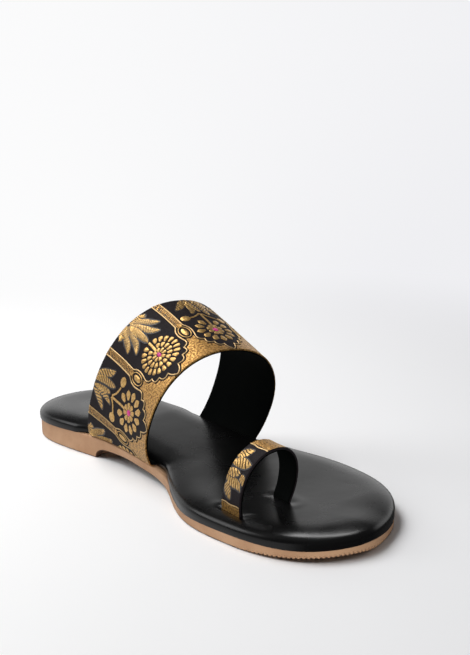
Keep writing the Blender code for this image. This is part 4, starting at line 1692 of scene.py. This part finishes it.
# %% Frame line
PITCH = 36.0
HALF = PITCH / 2
CLOTH_WIDTH = 55.0
SCALLOPS = (
    (((0.0, 54.7), (3.4, 49.1)), 0.9),
    (((3.4, 49.1), (8.25, 45.95)), 2.2),
    (((8.25, 45.95), (11.65, 41.85)), 2.1),
    (((11.65, 41.85), (14.85, 37.7)), 1.1),
)
BAR_SIDE = (
    (14.85, 37.7), (14.2, 35.0), (13.8, 31.6), (14.15, 28.6), (15.1, 26.4), (15.95, 24.7),
    (15.95, 20.0), (15.95, 15.0), (15.95, 10.0), (15.95, 5.0), (15.95, -2.0),
)


def frame_parts():
    """The right-hand frame of a panel as separate runs, from the tip to the top of the bar."""
    parts = [bowed(ends[0], ends[1], bow, 9) for ends, bow in SCALLOPS]
    knots = np.array(BAR_SIDE)
    along = lengths_along(knots)
    wanted = np.r_[np.linspace(0, along[5], 14), np.linspace(along[5], along[-1], 9)[1:]]
    parts.append(np.column_stack([curve_through(along, knots[:, k])(wanted) for k in (0, 1)]))
    return parts


print("runs in a frame:", len(frame_parts()))

# %% [markdown]
# A dark gap and then the gold ground follow the line. The gold ground is a thin plate in columns,
# whose upper edge is the outermost of the scallops moved out, or the oval's own edge beside the bar.

# %% Gold ground
GROUND_OUT, OVAL_DOWN = 1.1, 31.3
OVAL_CLEAR_ALONG, OVAL_CLEAR_DOWN, BESIDE_BAR = 3.7, 6.0, 15.5
LEAST_GROUND, GROUND_PAST_EDGE = 0.2, 2.0


def moved_out(path, distance):
    """A run moved away from the panel's middle."""
    return path + left_of(path) * distance


def ground_edge(columns):
    """Where the gold ground starts, at these distances from the panel's middle line."""
    edge = np.zeros(len(columns))
    for part in frame_parts()[:-1]:
        out = moved_out(part, GROUND_OUT)
        order = np.argsort(out[:, 0])
        height = np.interp(columns, out[order, 0], out[order, 1], left=0, right=0)
        edge = np.maximum(edge, height)
        for corner in (part[0], part[-1]):
            reach = GROUND_OUT**2 - (columns - corner[0]) ** 2
            round_it = corner[1] + np.sqrt(np.clip(reach, 0, None))
            edge = np.maximum(edge, np.where(reach > 0, round_it, 0))
    rounding = np.clip(1 - ((HALF - columns) / OVAL_CLEAR_ALONG) ** 2, 0, 1)
    oval = OVAL_DOWN + OVAL_CLEAR_DOWN * np.sqrt(rounding)
    return np.where(columns > BESIDE_BAR, oval, edge)


def gold_ground():
    """A thin plate from the scallops to past the cloth's front edge."""
    side = np.linspace(0, HALF, 49)
    columns = np.r_[-side[:0:-1], side]
    start = np.minimum(ground_edge(np.abs(columns)), CLOTH_WIDTH - LEAST_GROUND)
    flat = [(share, GROUND_PROUD) for share in np.linspace(0.04, 1, 7)]
    rows = []
    for share, height in [(0, SUNK), *flat, (1, SUNK)]:
        down = start + (CLOTH_WIDTH + GROUND_PAST_EDGE - start) * share
        rows.append(lifted(np.column_stack([columns, down]), height))
    width = len(columns)
    faces = grid_faces(len(rows), width)
    last = (len(rows) - 1) * width
    faces += [[last + k, last + k + 1, k + 1, k] for k in range(width - 1)]
    wall = list(range(0, last + width, width))
    faces += [wall, [width - 1 + k for k in reversed(wall)]]
    return Figure(np.concatenate(rows), faces, GROUND)


print("faces of the gold ground:", len(gold_ground().faces))

# %% [markdown]
# The bar holds an oval, and dark strokes and dots on a gold plate. A hand loom is never quite even,
# so they are shifted a little by numbers drawn from a fixed seed. Then the figures of each panel are
# gathered in one mesh, where each point says which thread it is.

# %% Bars and whole panels
LINE_WIDTH, BAR_PITCH, BAR_HALF, STROKES = 0.66, 1.45, 1.45, 18


def bar_figures():
    """The oval and the bar's leaning strokes and dots, uneven as on a hand loom."""
    figures = [cushion(ellipse(HALF, OVAL_DOWN, 1.6, 3.6, 14))]
    figures.append(ribbon(ellipse(HALF, OVAL_DOWN, 2.85, 5.0, 28), 0.5, closed=True))
    places = np.arange(-4.0, 26.5, 1.5)
    rungs = np.array([[(HALF + BAR_HALF, down), (HALF - BAR_HALF, down)] for down in places])
    figures.append(slab(rungs[::-1], 0.1)._replace(thread=GROUND))
    uneven = random.Random(4)
    for k in range(STROKES):
        down = k * BAR_PITCH - 2.4 + uneven.uniform(-0.25, 0.25)
        tall, mid = uneven.uniform(1.2, 2.0), uneven.uniform(-0.2, 0.5)
        stroke = [(HALF - 1.2, down + tall), (HALF - 0.5, down + mid), (HALF + 0.9, down - 0.2)]
        thick = uneven.uniform(0.4, 0.65)
        figures.append(ribbon(stroke, thick, PROUD * 0.8, thread=DARK))
        dot = ellipse(HALF + 0.9, down + 0.9, 0.45, 0.4, 6)
        figures.append(cushion(dot, PROUD * 0.8, thread=DARK))
    return figures


def panel_frame():
    """Everything round a panel. The left half is the right half mirrored."""
    figures = [gold_ground()] + bar_figures()
    line = np.concatenate(frame_parts())
    line = line[np.r_[True, np.linalg.norm(np.diff(line, axis=0), axis=1) > 0.05]]
    for way in (1, -1):
        figures.append(ribbon(line * np.array([way, 1]), LINE_WIDTH, PROUD + 0.05, thread=LINE))
    return figures


def gathered(name, figures):
    """One flat mesh object of many figures. Each point carries its kind of thread."""
    faces, thread = [], []
    for figure in figures:
        faces += [[len(thread) + k for k in face] for face in figure.faces]
        thread += [figure.thread] * len(figure.points)
    mesh = bpy.data.meshes.new(name)
    mesh.from_pydata(np.concatenate([figure.points for figure in figures]).tolist(), [], faces)
    carry(mesh, "thread", thread)
    return bpy.data.objects.new(name, mesh)


ring_cut = gathered("ring_cut", ring_figures())
kinds = {"panel_one": panel_one, "panel_two": panel_two}
panels = [gathered(name, panel_frame() + kind()) for name, kind in kinds.items()]
print("panel faces:", [len(panel.data.polygons) for panel in panels])

# %% [markdown]
# Zari is cotton thread wrapped in a flat gilt strip. Its floats lie side by side along the weft, so
# the finish has fine ridges across the strap, a broken shine, and brown specks where the cotton
# shows. The frame's line is a paler thread, and the gold ground is crinkled and mottled. The same
# mesh holds the dark outlines and the pink silk eyes, told apart by the kind of thread that each
# point carries. Only the gold is metallic.

# %% Zari finish
GOLD_BRIGHT, GOLD_DEEP = (0.92, 0.60, 0.22, 1), (0.46, 0.23, 0.06, 1)
GROUND_BRIGHT, GROUND_DEEP = (0.80, 0.46, 0.14, 1), (0.22, 0.095, 0.025, 1)
PALE_LINE, PINK, OUTLINE = (0.74, 0.50, 0.23, 1), (0.50, 0.02, 0.19, 1), (0.010, 0.007, 0.008, 1)
THREAD_PITCH = 0.4


def zari_finish():
    finish = new_finish("zari")
    tree = finish.nodes
    kind = add(tree, "ShaderNodeAttribute", attribute_name="thread").outputs["Fac"]
    dark = maths(tree, "LESS_THAN", kind, -0.5)
    line = maths(tree, "COMPARE", kind, LINE, 0.06)
    ground = maths(tree, "COMPARE", kind, GROUND, 0.06)
    silk = maths(tree, "GREATER_THAN", kind, 0.75)
    where = cloth_place(tree)
    floats = wave(tree, cloth_place(tree, WEFT_TURN), THREAD_PITCH)
    streak = add(tree, "ShaderNodeMapping", {"Vector": where, "Scale": (0.5, 2.2, 1.0)}).outputs[0]
    uneven = noise(tree, streak, 1.1, 3.0, 0.6)
    fleck = fade(tree, noise(tree, where, 0.95, 4.0, 0.75), 0.43, 0.60)
    gold = blend(tree, fade(tree, uneven, 0.38, 0.66), GOLD_BRIGHT, GOLD_DEEP)
    mottled = blend(tree, fleck, GROUND_BRIGHT, GROUND_DEEP)
    colour = blend(tree, line, gold, PALE_LINE)
    colour = blend(tree, ground, colour, mottled)
    shade = maths(tree, "MULTIPLY_ADD", floats, 0.35, 0.65)
    pale = add(tree, "ShaderNodeCombineColor", {0: shade, 1: shade, 2: shade}).outputs[0]
    colour = blend(tree, 1.0, colour, pale, "MULTIPLY")
    colour = blend(tree, silk, colour, PINK)
    feed(finish, "Base Color", blend(tree, dark, colour, OUTLINE))
    matt = maths(tree, "MAXIMUM", dark, silk)
    metal = maths(tree, "MULTIPLY_ADD", matt, -0.85, 0.85)
    feed(finish, "Metallic", metal)
    feed(finish, "Roughness", fade(tree, uneven, 0.3, 0.7, 0.30, 0.44))
    height = maths(tree, "MULTIPLY_ADD", floats, 0.35, uneven)
    height = maths(tree, "MULTIPLY_ADD", fleck, maths(tree, "MULTIPLY", ground, -1.6), height)
    bump(finish, height, 0.00006, 0.7)
    return finish


print("zari ready")

# %% [markdown]
# ## Repeat the panels
# A loom repeats its two panels along the cloth, and so does this Geometry Nodes tree: a line of
# points at the pitch, the first panel on even points and the second on odd ones. The instances are
# made real at the end, because the straps need one plain mesh to cut and lay.

# %% Repeat the panels


def panel_tree():
    sockets = {"Panel One": "Object", "Panel Two": "Object", "Panels": "Int", "Pitch": "Float"}
    sockets |= {"Start": "Float", "Finish": "Material"}
    tree, given, out = new_tree("repeat the panels", sockets)
    value = given.outputs
    step = add(tree, "ShaderNodeCombineXYZ", {"X": value["Pitch"]})
    start = add(tree, "ShaderNodeCombineXYZ", {"X": value["Start"]})
    inputs = {"Count": value["Panels"], "Start Location": start.outputs[0], "Offset": step.outputs[0]}
    line = add(tree, "GeometryNodeMeshLine", inputs)
    number = add(tree, "GeometryNodeInputIndex").outputs[0]
    odd = maths(tree, "MODULO", number, 2.0)
    even = maths(tree, "SUBTRACT", 1.0, odd)
    both = add(tree, "GeometryNodeJoinGeometry")
    for panel, chosen in (("Panel One", even), ("Panel Two", odd)):
        shape = add(tree, "GeometryNodeObjectInfo", {"Object": value[panel]})
        inputs = {"Points": line.outputs[0], "Selection": chosen, "Instance": shape.outputs["Geometry"]}
        placed = add(tree, "GeometryNodeInstanceOnPoints", inputs)
        tree.links.new(placed.outputs[0], both.inputs[0])
    end_tree(tree, out, both.outputs[0], value["Finish"])
    return tree


zari = zari_finish()
PANEL_COUNT = 7
for panel in panels:
    bpy.context.scene.collection.objects.link(panel)
loom_values = {"Panel One": panels[0], "Panel Two": panels[1], "Panels": PANEL_COUNT, "Pitch": PITCH}
loom_values |= {"Start": -PITCH / 2, "Finish": zari.material}
cloth = grown("cloth", panel_tree(), loom_values)
for panel in panels:
    bpy.data.objects.remove(panel, do_unlink=True)
print("cloth faces:", len(cloth.data.polygons))

# %% [markdown]
# ## Lay the cloth on the straps
# The instep strap is wider at the foot than over the top, and its cloth was pulled a little askew,
# so its bars aren't quite square to its edges. The table says where each bar lies along the strap,
# at the back edge and at the ovals. Between the bars the cloth is stretched evenly. The ring's own
# cut is laid as it is, and its threads stop short of the edges. The cloth is creased where it
# folds, and what hangs past the hem is cut off and closed.

# %% Stretch and trim
BARS = table(
    "number at_back at_oval",
    (-1, -18.0, -27.0), (0, 20.5, 13.0), (1, 57.0, 53.0), (2, 90.0, 88.5), (3, 122.5, 121.0),
    (4, 156.0, 155.0), (5, 190.0, 190.0), (6, 226.0, 226.0),
)
END_MARGIN = 0.25
HEMS = {"band": 0.45, "ring": -0.25}
CREASES = (FOLD_ROUND, 0.06, FOLD_ROUND * (1 - math.pi / 2))


def stretched_for_band(points):
    """From the loom's straight panels to the strap's bars."""
    number = points[:, 0] / PITCH
    down = points[:, 1]
    past = -0.3 * (1 - np.exp(-(down - OVAL_DOWN) / 9.0))
    askew = np.where(down < OVAL_DOWN, 1 - down / OVAL_DOWN, past)
    numbers, at_back, at_oval = np.array(BARS).T
    back = np.interp(number, numbers, at_back)
    oval = np.interp(number, numbers, at_oval)
    return np.column_stack([oval + (back - oval) * askew, down, points[:, 2]])


def trimmed(name, strap, flat, stretched=None):
    """A flat cloth, stretched, cut to the strap's outer face and closed where it was cut."""

    def split(at, way, **settings):
        whole = bm.verts[:] + bm.edges[:] + bm.faces[:]
        bmesh.ops.bisect_plane(bm, geom=whole, plane_co=at, plane_no=way, **settings)

    bm = bmesh.new()
    bm.from_mesh(flat.data)
    bpy.data.objects.remove(flat, do_unlink=True)
    if stretched:
        points = np.array([vertex.co[:] for vertex in bm.verts])
        for vertex, point in zip(bm.verts, stretched(points)):
            vertex.co = point
    hem = HEMS[strap.name]
    cuts = (
        ((END_MARGIN, 0, 0), (-1, 0, 0)),
        ((strap.length - END_MARGIN, 0, 0), (1, 0, 0)),
        ((0, -hem, 0), (0, -1, 0)),
        ((0, strap.width + hem, 0), (0, 1, 0)),
    )
    for at, away in cuts:
        split(at, away, clear_outer=True)
        bmesh.ops.holes_fill(bm, edges=[edge for edge in bm.edges if edge.is_boundary], sides=0)
    for crease in CREASES if hem > 0 else ():
        for down in (crease, strap.width - crease):
            split((0, down, 0), (0, 1, 0))
    bmesh.ops.triangulate(bm, faces=[face for face in bm.faces if len(face.verts) > 4])
    bmesh.ops.recalc_face_normals(bm, faces=bm.faces[:])
    layer = bm.loops.layers.uv.new("cloth")
    for face in bm.faces:
        for loop in face.loops:
            loop[layer].uv = loop.vert.co.xy * MM
    mesh = bpy.data.meshes.new(name)
    bm.to_mesh(mesh)
    bm.free()
    return mesh


flat_band = trimmed("band_zari", BAND, cloth, stretched_for_band)
flat_ring = trimmed("ring_zari", RING, ring_cut)
print("figure faces on band and ring:", len(flat_band.polygons), len(flat_ring.polygons))

# %% [markdown]
# The strap's outer face, with the folds round both edges, is the guide for the figures. It has each
# point's shares along and across as its UV map, and its outward direction as an attribute.

# %% Guide surface
HEM_DROP, GUIDE_HEM = 1.0, 3.0


def folded_rows(strap):
    """Rows of the outer face and both folds: points, directions out, and places across the cloth."""
    grid = GRIDS[strap.name]
    out, sideways = grid_normals(grid)

    def fold(k, way, edge):
        rows = []
        for turn, drop in [(turn, 0.0) for turn in EDGE_TURNS] + [(EDGE_TURNS[-1], HEM_DROP)]:
            inset = FOLD_ROUND * (1 - math.sin(turn))
            depth = FOLD_ROUND * (1 - math.cos(turn)) + drop
            points = grid[k] - way * sideways[k] * inset - out[k] * depth
            facing = out[k] * math.cos(turn) + way * sideways[k] * math.sin(turn)
            rows.append((points, facing, edge + way * (FOLD_ROUND * (turn - 1) + drop)))
        return rows

    face = [(grid[k], out[k], strap.width * k / strap.across) for k in range(1, strap.across)]
    rows = fold(0, -1, 0.0)[::-1] + face + fold(-1, 1, strap.width)
    return [np.array(column) for column in zip(*rows)]


def make_guide(strap):
    """The strap's outer face with its shares and outward directions."""
    grid, out, across = folded_rows(strap)
    rows, columns = grid.shape[:2]
    across = (across + GUIDE_HEM) / (strap.width + 2 * GUIDE_HEM)
    uv = np.stack(np.meshgrid(np.linspace(0, 1, columns), across), axis=-1).reshape(-1, 2)
    points = place(grid.reshape(-1, 3))
    guide = new_piece(strap.name + "_guide", points, grid_faces(rows, columns), None, uv)
    carry(guide.data, "out", out.reshape(-1, 3) * np.array([1, -1, 1]), "FLOAT_VECTOR", "vector")
    return guide


print("guide rows on the band:", len(folded_rows(BAND)[0]))

# %% [markdown]
# A third Geometry Nodes tree lays the flat figures on a strap. Every point of the flat cloth looks up
# its own two shares on the guide, and stands off the surface by its height.

# %% Laying tree


def laying_tree():
    sockets = {"Guide": "Object", "Length": "Float", "Width": "Float", "Hem": "Float"}
    sockets |= {"Scale": "Float", "Finish": "Material"}
    tree, given, out = new_tree("lay the cloth", sockets)
    value = given.outputs
    guide = add(tree, "GeometryNodeObjectInfo", {"Object": value["Guide"]}).outputs["Geometry"]
    flat = add(tree, "GeometryNodeInputPosition").outputs[0]
    part = add(tree, "ShaderNodeSeparateXYZ", {0: flat}).outputs
    along = maths(tree, "DIVIDE", part["X"], value["Length"])
    past_hem = maths(tree, "ADD", part["Y"], value["Hem"])
    whole = maths(tree, "MULTIPLY_ADD", value["Hem"], 2.0, value["Width"])
    across = maths(tree, "DIVIDE", past_hem, whole)
    shares = add(tree, "ShaderNodeCombineXYZ", {"X": along, "Y": across}).outputs[0]
    uv = add(tree, "GeometryNodeInputNamedAttribute", {"Name": "cloth"}, data_type="FLOAT_VECTOR")
    outwards = add(tree, "GeometryNodeInputNamedAttribute", {"Name": "out"}, data_type="FLOAT_VECTOR")
    surface = add(tree, "GeometryNodeInputPosition").outputs[0]
    found = []
    for sampled in (surface, outwards.outputs[0]):
        inputs = {"Mesh": guide, "Value": sampled, "UV Map": uv.outputs[0], "Sample UV": shares}
        kind = "GeometryNodeSampleUVSurface"
        found.append(add(tree, kind, inputs, data_type="FLOAT_VECTOR").outputs["Value"])
    height = maths(tree, "MULTIPLY", part["Z"], value["Scale"])
    lift = add(tree, "ShaderNodeVectorMath", {0: found[1], "Scale": height}, operation="SCALE")
    where = add(tree, "ShaderNodeVectorMath", {0: found[0], 1: lift.outputs[0]}, operation="ADD")
    inputs = {"Geometry": value["Geometry"], "Position": where.outputs[0]}
    laid = add(tree, "GeometryNodeSetPosition", inputs)
    end_tree(tree, out, laid.outputs[0], value["Finish"])
    return tree


LAYING = laying_tree()
print("laying tree nodes:", len(LAYING.nodes))

# %% [markdown]
# Laying can leave the faces looking inwards, which the sign of the volume shows. They are then
# turned over. Edges sharper than fifty degrees stay crisp, so that each float catches the light.

# %% Lay both cloths


def laid_on(strap, mesh):
    guide = make_guide(strap)
    values = {"Guide": guide, "Length": strap.length, "Width": strap.width, "Hem": GUIDE_HEM}
    values |= {"Scale": MM, "Finish": zari.material}
    piece = grown(mesh.name, LAYING, values, mesh)
    bpy.data.objects.remove(guide, do_unlink=True)
    bm = bmesh.new()
    bm.from_mesh(piece.data)
    if bm.calc_volume(signed=True) < 0:
        bmesh.ops.reverse_faces(bm, faces=bm.faces[:])
    print(piece.name, "volume, mm3:", round(bm.calc_volume(signed=True) * 1e9, 1))
    bm.to_mesh(piece.data)
    bm.free()
    piece.data.shade_smooth()
    piece.data.set_sharp_from_angle(angle=math.radians(50))
    return piece


band_zari = laid_on(BAND, flat_band)
ring_zari = laid_on(RING, flat_ring)

# %% [markdown]
# ## Hand over
# Every piece rides on the one body, and the frame's solids that it stands for are hidden. The
# table's slot column names a finish for each piece, which nothing reads.

# %% Hand over
ROLES = table(
    "piece nodes slot",
    (sole, ["outsole"], "tan_rubber"),
    (edge_ribs, [], "tan_rubber"),
    (tread_bars, [], "tan_rubber"),
    (footbed_pad, ["footbed"], "black_leatherette"),
    (band_cloth, ["instep_band"], "brocade"),
    (band_lining, [], "black_leatherette"),
    (ring_cloth, ["toe_ring"], "ring_brocade"),
    (ring_lining, [], "black_leatherette"),
    (band_zari, [], "brocade"),
    (ring_zari, [], "ring_brocade"),
)
limit_light(lamps["roll_strip"], [footbed_pad])
limit_light(lamps["key_box"], [footbed_pad], "EXCLUDE")
limit_light(lamps["side_fill"], [role.piece for role in ROLES])
for role in ROLES:
    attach(role.piece, "root")
    if role.nodes:
        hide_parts(*role.nodes)
